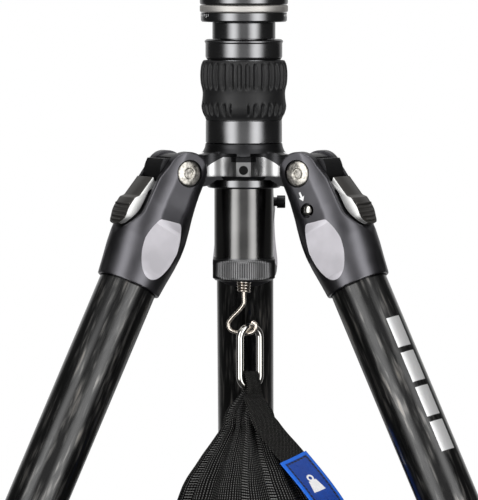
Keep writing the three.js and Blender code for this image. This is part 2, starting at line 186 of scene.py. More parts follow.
def rodOf(radius, low, high, axis="Z", centre=(0, 0, 0), sides=48):
    bm = bmesh.new()
    bmesh.ops.create_cone(bm, cap_ends=True, segments=sides, radius1=radius, radius2=radius, depth=high - low)
    bmesh.ops.translate(bm, verts=bm.verts, vec=(0, 0, (low + high) / 2))
    turns = {"Z": Matrix.Identity(4), "Y": Matrix.Rotation(-math.pi / 2, 4, "X"),
             "X": Matrix.Rotation(math.pi / 2, 4, "Y")}
    bmesh.ops.transform(bm, matrix=Matrix.Translation(centre) @ turns[axis], verts=bm.verts)
    return bm


def turnedBy(bm, degrees, axis="Z"):
    bmesh.ops.rotate(bm, verts=bm.verts, cent=(0, 0, 0), matrix=Matrix.Rotation(math.radians(degrees), 3, axis))
    return bm


def joined(shapes):
    whole = bmesh.new()
    for shape in shapes:
        mesh = bpy.data.meshes.new("part")
        shape.to_mesh(mesh)
        shape.free()
        whole.from_mesh(mesh)
        bpy.data.meshes.remove(mesh)
    return whole


def asObject(bm):
    mesh = bpy.data.meshes.new("work")
    bm.to_mesh(mesh)
    bm.free()
    for slot in range(3):
        mesh.materials.append(None)
    obj = bpy.data.objects.new("work", mesh)
    scene.collection.objects.link(obj)
    return obj


def collected(body, *others):
    bpy.context.view_layer.update()
    graph = bpy.context.evaluated_depsgraph_get()
    result = bmesh.new()
    result.from_mesh(bpy.data.meshes.new_from_object(body.evaluated_get(graph)))
    for obj in (body, *others):
        bpy.data.objects.remove(obj)
    return result


def combined(base, tools, operation="DIFFERENCE"):
    body = asObject(base)
    cutters = [asObject(tool) for tool in tools]
    for cutter in cutters:
        cut = body.modifiers.new("cut", "BOOLEAN")
        cut.operation = operation
        cut.solver = "EXACT"
        cut.object = cutter
    return collected(body, *cutters)


def softened(bm, voxel, passes):
    body = asObject(bm)
    remesh = body.modifiers.new("remesh", "REMESH")
    remesh.mode = "VOXEL"
    remesh.voxel_size = voxel
    smooth = body.modifiers.new("smooth", "SMOOTH")
    smooth.iterations = passes
    smooth.factor = 0.5
    return collected(body)


def smoothPath(points, perSpan=8, cyclic=False):
    points = [Vector(p) for p in points]
    count = len(points)
    path = []
    for i in range(count if cyclic else count - 1):
        p1, p2 = points[i], points[(i + 1) % count]
        p0 = points[i - 1] if (cyclic or i > 0) else p1 * 2 - p2
        p3 = points[(i + 2) % count] if (cyclic or i + 2 < count) else p2 * 2 - p1
        for k in range(perSpan):
            t = k / perSpan
            path.append((p1 * 2 + (p2 - p0) * t + (p0 * 2 - p1 * 5 + p2 * 4 - p3) * t ** 2
                         + (p1 * 3 - p0 - p2 * 3 + p3) * t ** 3) / 2)
    return path if cyclic else path + [points[-1]]


def wireAlong(path, radius, cyclic=False, resolution=5):
    data = bpy.data.curves.new("wire", "CURVE")
    data.dimensions = "3D"
    data.bevel_depth = radius
    data.bevel_resolution = resolution
    data.use_fill_caps = True
    spline = data.splines.new("POLY")
    spline.points.add(len(path) - 1)
    for point, place in zip(spline.points, path):
        point.co = (*place, 1)
    spline.use_cyclic_u = cyclic
    obj = bpy.data.objects.new("wire", data)
    scene.collection.objects.link(obj)
    bm = collected(obj)
    bmesh.ops.remove_doubles(bm, verts=bm.verts, dist=1e-4)
    bmesh.ops.recalc_face_normals(bm, faces=bm.faces)
    return bm


def wrapUv(bm, radius):
    # u is the distance round and v the distance along, both in centimetres
    layer = bm.loops.layers.uv.new("wrap")
    for face in bm.faces:
        middle = face.calc_center_median()
        base = math.atan2(middle.y, middle.x)
        for loop in face.loops:
            angle = math.atan2(loop.vert.co.y, loop.vert.co.x)
            angle = base + (angle - base + math.pi) % (2 * math.pi) - math.pi
            loop[layer].uv = (angle * radius / 10, loop.vert.co.z / 10)
    return bm


def piece(name, bm, place, body, materials, hides=(), sharp=38):
    bm.transform(place)
    mesh = bpy.data.meshes.new(name)
    bm.to_mesh(mesh)
    bm.free()
    for material in materials:
        mesh.materials.append(material)
    mesh.shade_smooth()
    mesh.set_sharp_from_angle(angle=math.radians(sharp))
    obj = bpy.data.objects.new(name, mesh)
    scene.collection.objects.link(obj)
    if body:
        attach(obj, body)
    if hides:
        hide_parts(*hides)
    return obj


# ---- material helpers ----
def addNode(tree, kind, settings=None, sockets=None):
    made = tree.nodes.new("ShaderNode" + kind)
    for key, value in (settings or {}).items():
        setattr(made, key, value)
    for key, value in (sockets or {}).items():
        if isinstance(value, bpy.types.NodeSocket):
            tree.links.new(value, made.inputs[key])
        else:
            made.inputs[key].default_value = value
    return made


def newMaterial(name, slotName, values):
    material = bpy.data.materials.new(name)
    material.use_nodes = True
    material["slot"] = slotName
    shader = material.node_tree.nodes["Principled BSDF"]
    for key, value in values.items():
        shader.inputs[key].default_value = (*value, 1) if isinstance(value, tuple) else value
    return material, material.node_tree, shader


def noiseOn(tree, scale, stretch=(1, 1, 1), detail=3, uv=False, turn=0):
    source = addNode(tree, "TexCoord").outputs["UV" if uv else "Object"]
    mapped = addNode(tree, "Mapping", None,
                     {"Vector": source, "Scale": stretch, "Rotation": (0, 0, math.radians(turn))})
    return addNode(tree, "TexNoise", None, {"Vector": mapped.outputs["Vector"], "Scale": scale, "Detail": detail})


def ramp(tree, value, stops):
    made = addNode(tree, "ValToRGB", None, {"Fac": value})
    elements = made.color_ramp.elements
    while len(elements) < len(stops):
        elements.new(0.5)
    for element, (place, colour) in zip(elements, stops):
        element.position = place
        element.color = (*colour, 1) if isinstance(colour, tuple) else (colour, colour, colour, 1)
    return made.outputs["Color"]


def roughFrom(tree, shader, value, low, high):
    spread = addNode(tree, "MapRange", None, {"Value": value, "From Min": 0.3, "From Max": 0.7,
                                              "To Min": low, "To Max": high})
    tree.links.new(spread.outputs["Result"], shader.inputs["Roughness"])


def bumpFrom(tree, shader, value, strength, distance=0.0001):
    bump = addNode(tree, "Bump", None, {"Height": value, "Strength": strength, "Distance": distance})
    tree.links.new(bump.outputs["Normal"], shader.inputs["Normal"])
    return bump


def grainedMetal(name, slotName, colour, rough, metal=0.8, grain=2500, bump=0.1, coat=0, stretch=(1, 1, 1),
                 patches=60, shade=0.8):
    material, tree, shader = newMaterial(name, slotName, {
        "Base Color": colour, "Metallic": metal, "Roughness": rough,
        "Coat Weight": coat, "Coat Roughness": 0.08})
    cloud = noiseOn(tree, patches)
    fine = noiseOn(tree, grain, stretch, 2)
    darker = tuple(c * shade for c in colour)
    tint = ramp(tree, cloud.outputs["Fac"], [(0.35, darker), (0.65, colour)])
    tree.links.new(tint, shader.inputs["Base Color"])
    roughFrom(tree, shader, cloud.outputs["Fac"], rough * 0.85, rough * 1.2)
    bumpFrom(tree, shader, fine.outputs["Fac"], bump, 0.00003)
    return material


def carbonFibre():
    material, tree, shader = newMaterial("carbonFibre", "carbon", {
        "Metallic": 0.9, "Roughness": 0.34, "Coat Weight": 0.9, "Coat Roughness": 0.12,
        "Anisotropic": 0.0})
    left = noiseOn(tree, 1.0, (3.2, 0.42, 1), 2.5, True, 15)
    right = noiseOn(tree, 1.0, (3.2, 0.42, 1), 2.5, True, -15)
    both = addNode(tree, "Math", {"operation": "MAXIMUM"},
                   {0: left.outputs["Fac"], 1: right.outputs["Fac"]})
    strands = noiseOn(tree, 1.0, (60, 1.2, 1), 2, True, 8)
    mixed = addNode(tree, "Math", {"operation": "MULTIPLY_ADD"},
                    {0: strands.outputs["Fac"], 1: 0.16, 2: both.outputs["Value"]})
    tint = ramp(tree, mixed.outputs["Value"], [
        (0.6, (0.008, 0.008, 0.008)), (0.68, (0.03, 0.03, 0.029)),
        (0.76, (0.12, 0.115, 0.11)), (0.9, (0.3, 0.27, 0.23))])
    tree.links.new(tint, shader.inputs["Base Color"])
    roughFrom(tree, shader, strands.outputs["Fac"], 0.28, 0.42)
    bumpFrom(tree, shader, strands.outputs["Fac"], 0.15, 0.00004)
    return material


def mouldedRubber(name, slotName, colour=(0.008, 0.008, 0.0085), rough=0.5):
    material, tree, shader = newMaterial(name, slotName, {
        "Base Color": colour, "Roughness": rough, "Specular IOR Level": 0.4})
    cloud = noiseOn(tree, 120)
    fine = noiseOn(tree, 4000, detail=2)
    roughFrom(tree, shader, cloud.outputs["Fac"], rough * 0.85, rough * 1.15)
    bumpFrom(tree, shader, fine.outputs["Fac"], 0.25, 0.00003)
    return material


def plainFinish(name, slotName, values, grain=0, bump=0.1):
    material, tree, shader = newMaterial(name, slotName, values)
    if grain:
        fine = noiseOn(tree, grain)
        roughness = values.get("Roughness", 0.5)
        roughFrom(tree, shader, fine.outputs["Fac"], roughness * 0.8, roughness * 1.25)
        bumpFrom(tree, shader, fine.outputs["Fac"], bump, 0.00003)
    return material


castGrey = grainedMetal("castGrey", "satin_grey", (0.122, 0.12, 0.13), 0.33, 1.0, 3500, 0.25)
facetGrey = grainedMetal("facetGrey", "satin_grey", (0.66, 0.64, 0.68), 0.5, 0.4, 3500, 0.25)
tabDark = grainedMetal("tabDark", "tab_grey", (0.13, 0.124, 0.115), 0.36, 0.9, 3000, 0.3)
tabBright = grainedMetal("tabBright", "tab_grey", (0.62, 0.62, 0.61), 0.38, 0.9, 2500, 0.25)
satinBlack = grainedMetal("satinBlack", "satin_black", (0.035, 0.035, 0.037), 0.3, 0.9, 3000, 0.15)
glossBlack = grainedMetal("glossBlack", "polished_dark", (0.21, 0.21, 0.215), 0.2, 1.0, 2500, 0.06, stretch=(1, 1, 30))
columnBlack = grainedMetal("columnBlack", "polished_dark", (0.17, 0.168, 0.165), 0.2, 1.0, 2500, 0.04)
knurlBlack = grainedMetal("knurlBlack", "knurled_dark", (0.15, 0.15, 0.152), 0.3, 1.0, 2500, 0.1)
ringSilver = grainedMetal("ringSilver", "bright_ring", (0.66, 0.64, 0.61), 0.5, 0.9, 900, 0.8)
machined = grainedMetal("machined", "satin_black", (0.5, 0.5, 0.5), 0.28, 1.0, 1500, 0.2, stretch=(1, 1, 0.05))
boltSteel = grainedMetal("boltSteel", "bolt_steel", (0.7, 0.67, 0.61), 0.32, 1.0, 700, 1.5,
                         patches=650, shade=0.35)
springWarm = grainedMetal("springWarm", "spring_steel", (0.85, 0.77, 0.68), 0.2, 1.0, 2500, 0.1)
ballMetal = grainedMetal("ballMetal", "ball_steel", (0.3, 0.3, 0.31), 0.35, 0.9, 3500, 0.2)
chrome = grainedMetal("chrome", "chrome", (0.72, 0.7, 0.66), 0.07, 1.0, 1200, 0.02)
carbon = carbonFibre()
gripRubber = mouldedRubber("gripRubber", "grip_rubber")
lockRubber = mouldedRubber("lockRubber", "lock_rubber")
knobRubber = mouldedRubber("knobRubber", "knob_rubber")
footRubber = mouldedRubber("footRubber", "foot_rubber", rough=0.7)
# near-black finish that is painted shade: the ring deep in each bolt recess and the walls of each boss's hole
paintedShadeBlack = plainFinish("paintedShadeBlack", "satin_black", {"Base Color": (0.004, 0.004, 0.004), "Roughness": 0.6}, 2000)
whitePrint = plainFinish("whitePrint", "satin_black", {"Base Color": (0.85, 0.85, 0.85), "Roughness": 0.5}, 3000)
silverPrint = plainFinish("silverPrint", "carbon", {"Base Color": (0.75, 0.75, 0.75), "Metallic": 0.6,
                                                    "Roughness": 0.35}, 3000)
print("materials made")


# ---- leg castings ----
casting = {
    "ear": 10.6, "earHalf": 14.4, "fork": 8.6, "forkDepth": 17, "end": 60.5, "socket": 46,
    "recess": 6.8, "recessFrom": 12.3, "pin": 4.3, "bore": 14.6, "button": (-2.5, -18.5), "buttonHole": 3.6,
    "voxel": 0.42, "smooth": 14,
    "flatten": [(12, 0.8), (-16, 0.8), (-30, 0.86), (-38, 0.905), (-45, 0.94), (-53, 0.985), (-60.5, 1)],
    "leaf": {"turn": 3, "depth": 14.4, "radius": 90, "down": 36.8},
}


def between(table, t):
    for (a, first), (b, second) in zip(table, table[1:]):
        if min(a, b) <= t <= max(a, b):
            part = (t - a) / (b - a)
            return first + (second - first) * part * part * (3 - 2 * part)
    return table[0][1] if abs(t - table[0][0]) < abs(t - table[-1][0]) else table[-1][1]


def castingOutline():
    c = casting
    ear = [(c["ear"] * math.cos(a), c["ear"] * math.sin(a)) for a in (math.pi * k / 24 for k in range(25))]
    inner = [(-10.6, -3), (-11.1, -10), (-12.5, -18), (-14.8, -26.5), (-17.4, -33.5), (-18.6, -38.5),
             (-18.3, -44), (-17, -51), (-16.1, -57), (-16, -c["end"])]
    outer = [(16, -c["end"]), (16.1, -57), (17, -51), (18.3, -44), (18.4, -38.5), (16.8, -34), (14.8, -30),
             (13.3, -26), (12.9, -17), (12.6, -8)]
    return ear + smoothPath2(inner) + smoothPath2(outer)


def smoothPath2(points):
    return [(p.x, p.y) for p in smoothPath([(x, y, 0) for x, y in points], 4)]


def castingShape(hasButton):
    c = casting
    barrel = spun([(0, 12), (19, 12), (18.9, 0), (18.8, -10), (18.8, -20), (18.8, -25), (18.8, -30), (18.8, -34),
                   (18.8, -38), (18.1, -45), (16.9, -53), (16, -c["end"]), (0, -c["end"])], steps=96)
    for vert in barrel.verts:
        vert.co.y *= between(c["flatten"], vert.co.z)
    side = smoothPath2([(c["earHalf"], 12), (c["earHalf"], -14), (14.6, -20), (15.2, -26), (16.2, -33), (17.6, -42),
                        (20, -c["end"] - 1)])
    flats = [(-y, z) for y, z in side] + side[::-1]
    body = combined(drawnOut(castingOutline(), 22), [barrel, turnedBy(drawnOut(flats, 30), 90)], "INTERSECT")
    body = softened(body, c["voxel"], c["smooth"])
    cuts = [
        blockOf((-25, -c["fork"], -c["forkDepth"]), (25, c["fork"], 20)),
        rodOf(c["pin"], -20, 20, "Y"),
        rodOf(c["recess"], c["recessFrom"], 20, "Y", sides=72),
        rodOf(c["recess"], -20, -c["recessFrom"], "Y", sides=72),
        rodOf(c["bore"], -70, -c["socket"], sides=72),
    ]
    if hasButton:
        x, z = c["button"]
        cuts.append(rodOf(c["buttonHole"], -20, -9.2, "Y", (x, 0, z)))
    leaf = c["leaf"]   # a shallow scoop on each side leaves a leaf shaped facet
    scoops = []
    for side in (90 + leaf["turn"], -90 - leaf["turn"]):
        scoop = rodOf(leaf["radius"], -30, 30, "Y", (leaf["radius"] + leaf["depth"], 0, -leaf["down"]), 360)
        for face in scoop.faces:
            face.material_index = 1
        scoops.append(turnedBy(scoop, side))
    return combined(body, cuts + scoops)


for letter in legLetters:
    name = "casting_" + letter
    piece("legCasting_" + letter, castingShape(letter == "b"), legPlaces[letter], "leg_" + letter,
          [castGrey, facetGrey], [name], 22)
print("castings made")


# ---- hinge bolts, with a painted shade ring deep in each recess ----
bolt = {"head": 6.2, "low": 12.7, "high": 14.25, "socket": 2.0, "deep": 1.1, "ring": (6.25, 6.78, 12.6)}


def boltShape():
    low, high = bolt["low"], bolt["high"]
    head = [(0, low), (bolt["head"], low, 0.2), (bolt["head"], high - 0.75, 0.3), (5.5, high - 0.4, 0.3),
            (3.3, high, 0.5), (2.7, high, 0.2), (2.35, high - 0.5), (0, high - 0.5)]
    shapes = []
    for side in (1, -1):
        disc = spun(head, steps=64)
        socket = rodOf(bolt["socket"], bolt["high"] - bolt["deep"], bolt["high"] + 1, sides=6)
        disc = combined(disc, [socket])
        bmesh.ops.rotate(disc, verts=disc.verts, cent=(0, 0, 0), matrix=Matrix.Rotation(-side * math.pi / 2, 3, "X"))
        shapes.append(disc)
    shapes.append(rodOf(4, -12.8, 12.8, "Y"))
    return joined(shapes)


# a thin near-black ring at the bottom of each recess: painted shade, where the recess lies in shadow
def recessShadeRing():
    inner, outer, depth = bolt["ring"]
    shapes = []
    for side in (1, -1):
        ring = spun([(inner, depth - 0.2), (outer, depth - 0.2), (outer, depth), (inner, depth)], True, 64)
        shapes.append(turnedBy(ring, -90 * side, "X"))
    return joined(shapes)


for letter in legLetters:
    piece("hingeBolt_" + letter, boltShape(), legPlaces[letter], "root", [boltSteel], ["pivot_bolt_" + letter])
    piece("recessShadeRing_" + letter, recessShadeRing(), legPlaces[letter], "leg_" + letter, [paintedShadeBlack])
print("bolts made")


# ---- leg angle locks ----
tab = {
    "outline": [(14.5, -8.5, 0.5), (17.3, -20, 0.6), (19.1, -21.8, 0.5), (20.3, -28, 2), (19.6, -33, 2),
                (20.4, -36, 0.5), (18.7, -36.3, 0.5), (17, -32.5, 1.5), (14.2, -26, 2), (13.8, -16, 0.3),
                (13.2, -14.4, 0.5), (11.3, -14.7, 1), (9, -12.3, 1.2), (11.3, -9.9, 1.2), (13, -10.2, 0.4)],
    "half": 8, "bevel": 0.45, "ribs": 5,
}


def tabPlan(margin):   # the finger end is round, seen from outside
    side, end = tab["half"] - margin, -36.6 + margin
    return turnedBy(drawnOut(rounded([(-side, 0), (side, 0), (side, end, 7.6), (-side, end, 7.6)], True, 10), 40), 90)


def tabShape():
    body = combined(drawnOut(rounded(tab["outline"], True, 3), tab["half"]), [tabPlan(0.02)], "INTERSECT")
    bevelSharp(body, tab["bevel"], 2, 40)
    for face in body.faces:
        face.material_index = 1 if abs(face.normal.y) > 0.35 else 0
    return body


def tabRibs():
    shapes = []
    for k in range(tab["ribs"]):
        t = k / (tab["ribs"] - 1)
        z = -25.6 - 8.6 * t
        x = 20.15 - 0.35 * math.sin(math.pi * min(1, t * 1.1)) + (0.25 if k == tab["ribs"] - 1 else 0)
        shapes.append(blockOf((x - 0.7, -7.6, z - 0.5), (x + 0.35, 7.6, z + 0.5), 0.28))
    return combined(joined(shapes), [tabPlan(0.9)], "INTERSECT")


for letter in legLetters:
    piece("angleLock_" + letter, tabShape(), legPlaces[letter], "tab_" + letter, [tabDark, tabBright],
          ["angle_lock_tab_" + letter])
    piece("angleLockRibs_" + letter, tabRibs(), legPlaces[letter], "tab_" + letter, [tabDark])
print("angle locks made")


# ---- carbon tubes ----
tubes = {"radii": (14.3, 12.6, 10.9, 9.2), "wall": 1.3, "tops": (46.3, 64, 67, 70),
         "ends": (316, 346.6, 377.2, 399.8)}


def tubeShape(index):
    outer = tubes["radii"][index]
    inner = outer - tubes["wall"]
    top, end = -tubes["tops"][index], -tubes["ends"][index]
    shape = spun([(inner, end), (outer, end, 0.3), (outer, top, 0.3), (inner, top)], True, 96, 2)
    return wrapUv(shape, outer)


for letter in legLetters:
    for index in range(4):
        body = "leg_" + letter if index == 0 else "section_%d_%s" % (index + 1, letter)
        piece("carbonTube%d_%s" % (index + 1, letter), tubeShape(index), legPlaces[letter], body, [carbon],
              ["tube_%d_%s" % (index + 1, letter)])
print("tubes made")


# ---- twist locks and feet ----
lock = {"top": 300, "length": 30, "pitch": 30.6, "step": 16.3, "ribs": 26, "clear": 0.45}


def ribbed(bm, count, low, high, depth, fade=2, sharpness=2.0):
    for vert in bm.verts:
        if low < vert.co.z < high:
            angle = math.atan2(vert.co.y, vert.co.x)
            edge = min(1, (vert.co.z - low) / fade, (high - vert.co.z) / fade)
            wave = abs(math.sin(angle * count / 2)) ** sharpness
            radius = math.hypot(vert.co.x, vert.co.y)
            if radius > depth:
                scale = 1 - depth * (1 - wave) * edge / radius
                vert.co.x *= scale
                vert.co.y *= scale
    return bm


def lockShape(index):
    outer = tubes["radii"][index] + 2.4
    upper = tubes["radii"][index] + lock["clear"]
    lower = tubes["radii"][index + 1] + lock["clear"]
    top = -(lock["top"] + index * lock["pitch"])
    bottom = top - lock["length"]
    step = top - lock["step"]
    points = [(lower, bottom), (outer - 1.2, bottom, 0.6), (outer, bottom + 2.5, 1), (outer, bottom + 4, 0.3)]
    levels = 8
    for k in range(1, levels):
        points.append((outer, bottom + 4 + (lock["length"] - 12) * k / levels))
    points += [(outer, top - 7, 0.4), (outer - 0.6, top - 6.4, 0.3), (outer - 0.6, top - 5.2, 0.3),
               (outer, top - 4.6, 0.4), (outer, top - 2, 0.8), (outer - 0.9, top, 0.5), (upper, top),
               (upper, step), (lower, step)]
    shape = spun(points, True, lock["ribs"] * 10, 3)
    outside = [v for v in shape.verts if math.hypot(v.co.x, v.co.y) > outer - 0.3]
    for vert in outside:
        low, high = bottom + 3.4, top - 7.4
        if low < vert.co.z < high:
            angle = math.atan2(vert.co.y, vert.co.x)
            wave = abs(math.sin(angle * lock["ribs"] / 2)) ** 0.7
            edge = min(1, (vert.co.z - low) / 1.5, (high - vert.co.z) / 1.5)
            scale = 1 - 0.75 * (1 - wave) * edge / outer
            vert.co.x *= scale
            vert.co.y *= scale
    return shape


def footShape():
    bore = tubes["radii"][3] + lock["clear"]
    points = [(0, -401.5), (bore, -401.5), (bore, -391.8), (12.0, -391.8, 0.6), (12.1, -394, 0.4),
              (11.5, -394.6, 0.3), (11.5, -395.4, 0.3), (12.4, -396, 0.4), (12.6, -398.4, 0.4), (11.9, -399, 0.3),
              (11.9, -399.8, 0.3), (12.4, -400.4, 0.4), (12.1, -403, 0.8)]
    for k in range(13):
        angle = math.pi / 24 * k
        points.append((11 * math.cos(angle), -408 - 11 * math.sin(angle)))
    points[-1] = (0, -419)
    return spun(points, False, 72, 3)


def footOnFloor(letter):
    shape = footShape()
    shape.transform(legPlaces[letter])
    geometry = shape.verts[:] + shape.edges[:] + shape.faces[:]
    cut = bmesh.ops.bisect_plane(shape, geom=geometry, plane_co=(0, 0, 0.00005), plane_no=(0, 0, 1),
                                 clear_inner=True)
    rim = [e for e in cut["geom_cut"] if isinstance(e, bmesh.types.BMEdge)]
    bmesh.ops.contextual_create(shape, geom=rim)
    bmesh.ops.recalc_face_normals(shape, faces=shape.faces)
    return shape


for letter in legLetters:
    for index in range(3):
        piece("twistLock%d_%s" % (index + 1, letter), lockShape(index), legPlaces[letter],
              "lock_%d_%s" % (index + 1, letter), [lockRubber], ["twist_lock_%d_%s" % (index + 1, letter)])
    piece("rubberFoot_" + letter, footOnFloor(letter), Matrix.Identity(4), "section_4_" + letter, [footRubber],
          ["foot_" + letter])
print("locks and feet made")


# ---- release button and stud ----
button = {"at": (-2.5, -18.5), "radius": 2.5}


def buttonShape():
    x, z = button["at"]
    dome = spun([(0, -11), (2.5, -11), (2.5, -13.9), (2.3, -14.4), (1.6, -14.8), (0.8, -14.98), (0, -15.02)],
                steps=40)
    bmesh.ops.rotate(dome, verts=dome.verts, cent=(0, 0, 0), matrix=Matrix.Rotation(-math.pi / 2, 3, "X"))
    bmesh.ops.translate(dome, verts=dome.verts, vec=(x, 0, z))
    return dome


def studShape():
    x, z = button["at"]
    stud = spun([(0, 14.3), (2.3, 14.3), (2.3, 16.2), (3.2, 16.2, 0.3), (3.2, 20.4, 0.5), (1.4, 20.4, 0.2),
                 (1.2, 19.8), (0, 19.8)], steps=60)
    ribbed(stud, 20, 16.6, 20, 0.25, 0.4, 1)
    bmesh.ops.rotate(stud, verts=stud.verts, cent=(0, 0, 0), matrix=Matrix.Rotation(math.pi / 2, 3, "X"))
    bmesh.ops.translate(stud, verts=stud.verts, vec=(x, 0, z))
    return stud


def pressMark():   # a small arrow towards the button
    arrow = drawnOut([(-3, -8.9), (-2, -8.9), (-2, -11.4), (-0.9, -11.4), (-2.5, -13.6), (-4.1, -11.4), (-3, -11.4)], 0.12)
    bmesh.ops.translate(arrow, verts=arrow.verts, vec=(0, -casting["earHalf"], 0))
    return arrow


def legMarks():   # plain printed bars down the outer side of the top tube
    shapes = []
    radius = tubes["radii"][0]
    for k in range(4):
        low = -98 - 18.2 * k
        ring = spun([(radius - 0.1, low), (radius + 0.04, low), (radius + 0.04, low + 15.4), (radius - 0.1, low + 15.4)],
                    True, 144)
        window = turnedBy(blockOf((5, -4.2, low - 1), (20, 4.2, low + 17)), -19)
        shapes.append(combined(ring, [window], "INTERSECT"))
    return joined(shapes)


piece("pressMark", pressMark(), legPlaces["b"], "leg_b", [whitePrint])
piece("legMarks", legMarks(), legPlaces["b"], "leg_b", [silverPrint])
piece("releaseButton", buttonShape(), legPlaces["b"], "button", [chrome], ["leg_release_button"])
piece("accessoryStud", studShape(), legPlaces["c"], "leg_c", [satinBlack], ["accessory_stud"])
print("button made")


# ---- spider ----
spider = {"bore": 14.95, "arm": 8.3, "knuckle": 9.5, "stop": 13.3, "pivot": 38.3,
          "flat": 19.3, "scallop": 9.5, "scallopOut": 25.8, "scallopTurn": 29}


def armOutline(low):
    s = spider
    knuckle = [(s["pivot"] + s["knuckle"] * math.cos(math.radians(a)), s["knuckle"] * math.sin(math.radians(a)))
               for a in range(232, 345, 8)]
    stop = [(s["pivot"] + s["stop"] * math.cos(math.radians(a)), s["stop"] * math.sin(math.radians(a)))
            for a in range(348, 401, 6)]
    top = [(s["pivot"] + s["knuckle"] * math.cos(math.radians(a)), s["knuckle"] * math.sin(math.radians(a)))
           for a in range(404, 471, 8)]
    return [(12, low), (20, low), (25, -6.5)] + knuckle + stop + top + [(28, 8.6), (24, 8.3), (21.2, 8.8),
                                                                        (18.5, 9.6), (12, 9.6)]


def spiderWhole():
    s = spider
    core = spun([(10, -3.8), (18.2, -3.8), (19.6, -2), (21.4, 7.4), (20.6, 8.6), (20, 9.8), (19.2, 11.6),
                 (18.85, 13.8), (10, 13.8)], True, 96)
    arms = []
    for letter in legLetters:
        arm = drawnOut(armOutline(-3.8), s["arm"])
        arm = combined(arm, [rodOf(4.3, -20, 20, "Y", (s["pivot"], 0, 0))])
        arms.append(turnedBy(arm, math.degrees(headingOf(letter))))
    return combined(combined(core, arms, "UNION"), [rodOf(s["bore"], -20, 40, sides=96)])


def scallops(low, high, finish):
    s = spider
    cuts = []
    for letter in legLetters:
        middle = math.degrees(headingOf(letter)) + 60
        for side in (-1, 1):
            cut = rodOf(s["scallop"], low, high, centre=(s["scallopOut"], 0, 0), sides=128)
            for face in cut.faces:
                face.material_index = finish
            cuts.append(turnedBy(cut, middle + side * s["scallopTurn"]))
    return cuts


def spiderUpper():
    body = combined(spiderWhole(), [blockOf((-70, -70, 7.3), (70, 70, 40))], "INTERSECT")
    return combined(softened(body, 0.45, 3), scallops(-10, 9.2, 0))


def spiderWaist():
    # the bright turned band and arm flanks, scalloped on both sides of each flat boss
    s = spider
    band = combined(spiderWhole(), [blockOf((-70, -70, -2.1), (70, 70, 7.25))], "INTERSECT")
    cuts = scallops(-10, 20, 0)
    for letter in legLetters:
        middle = math.degrees(headingOf(letter)) + 60
        cuts.append(turnedBy(blockOf((s["flat"], -6, -10), (40, 6, 20)), middle))
        # the hole in each flat boss is walled in near-black: painted shade inside the hole
        port = rodOf(2.25, 15.6, 30, "X", (0, 0, 1), 32)
        for face in port.faces:
            face.material_index = 1
        cuts.append(turnedBy(port, middle))
    shape = combined(band, cuts)
    for letter in legLetters:   # each arm is black above a line that slopes down along it
        out = Vector((math.cos(headingOf(letter)), math.sin(headingOf(letter)), 0))
        start = out * 15.5 + Vector((0, 0, 7.1))
        above = out * 5.8 + Vector((0, 0, 9.5))
        bmesh.ops.bisect_plane(shape, geom=shape.verts[:] + shape.edges[:] + shape.faces[:],
                               plane_co=start, plane_no=above)
        for face in shape.faces:
            middle = face.calc_center_median()
            if middle.dot(out) > 14.5 and (middle - start).dot(above) > 0 and abs(middle.cross(out).z) < 13:
                face.material_index = 2
    bmesh.ops.bisect_plane(shape, geom=shape.verts[:] + shape.edges[:] + shape.faces[:],
                           plane_co=(0, 0, 4.9), plane_no=(0, 0, 1))
    for letter in legLetters:   # and so is the top of each boss
        turn = headingOf(letter) + math.pi / 3
        out = Vector((math.cos(turn), math.sin(turn), 0))
        for face in shape.faces:
            middle = face.calc_center_median()
            if middle.z > 4.9 and middle.dot(out) > 15 and abs(middle.cross(out).z) < 6.1:
                face.material_index = 2
    return shape


def spiderPlate():
    return combined(spiderWhole(), [blockOf((-70, -70, -20), (70, 70, -2.15))], "INTERSECT")


def spiderBarrel():
    return spun([(spider["bore"], 14), (18.8, 14, 0.25), (18.75, 25, 0.4), (17.65, 25), (17.65, 23.7),
                 (spider["bore"], 23.7)], True, 128)


piece("spiderUpper", spiderUpper(), hubPlace, "root", [satinBlack], ["spider"], 30)
piece("spiderBarrel", spiderBarrel(), hubPlace, "root", [glossBlack])
piece("spiderWaist", spiderWaist(), hubPlace, "root", [machined, paintedShadeBlack, satinBlack], sharp=30)
piece("spiderPlate", spiderPlate(), hubPlace, "root", [satinBlack], sharp=30)
bottomRing = [(14.95, -8.3), (17.5, -8.3, 0.4), (18.2, -7.6, 0.4), (18.2, -4.1, 0.3), (14.95, -4.1)]
piece("spiderBottomRing", spun(bottomRing, True, 96), hubPlace, "root", [glossBlack], ["spider_bottom_ring"])
print("spider made")


# ---- column lock: polished collar and ribbed rubber grip ----
collar = [(14.95, 24), (17.4, 24), (17.4, 54.7), (18.1, 54.7, 0.3), (18.9, 56, 0.6), (18.9, 62.8, 0.3),
          (19.3, 63.4, 0.2), (19.3, 64, 0.2), (18.4, 64.7, 0.3), (14.95, 64.7)]
piece("lockCollar", spun(collar, True, 128), hubPlace, "column_lock", [glossBlack], ["column_lock_sleeve"])

grip = {
    "bore": 17.7, "bottom": 25.2,
    "outline": [(25.2, 18.75), (26.4, 19.1), (28.5, 20.2), (31.5, 20.9), (34.0, 20.6), (36.5, 20.35), (38.5, 20.3),
                (40.5, 20.6), (43.0, 21.2), (46.0, 21.45), (49.0, 21.4), (52.0, 21.0), (54.0, 20.2), (54.4, 19.6)],
    "ribs": 32, "steps": 32 * 14,
    "longRibs": (39.8, 53.6), "shortRibs": (27.0, 33.8), "depth": 1.35,
}


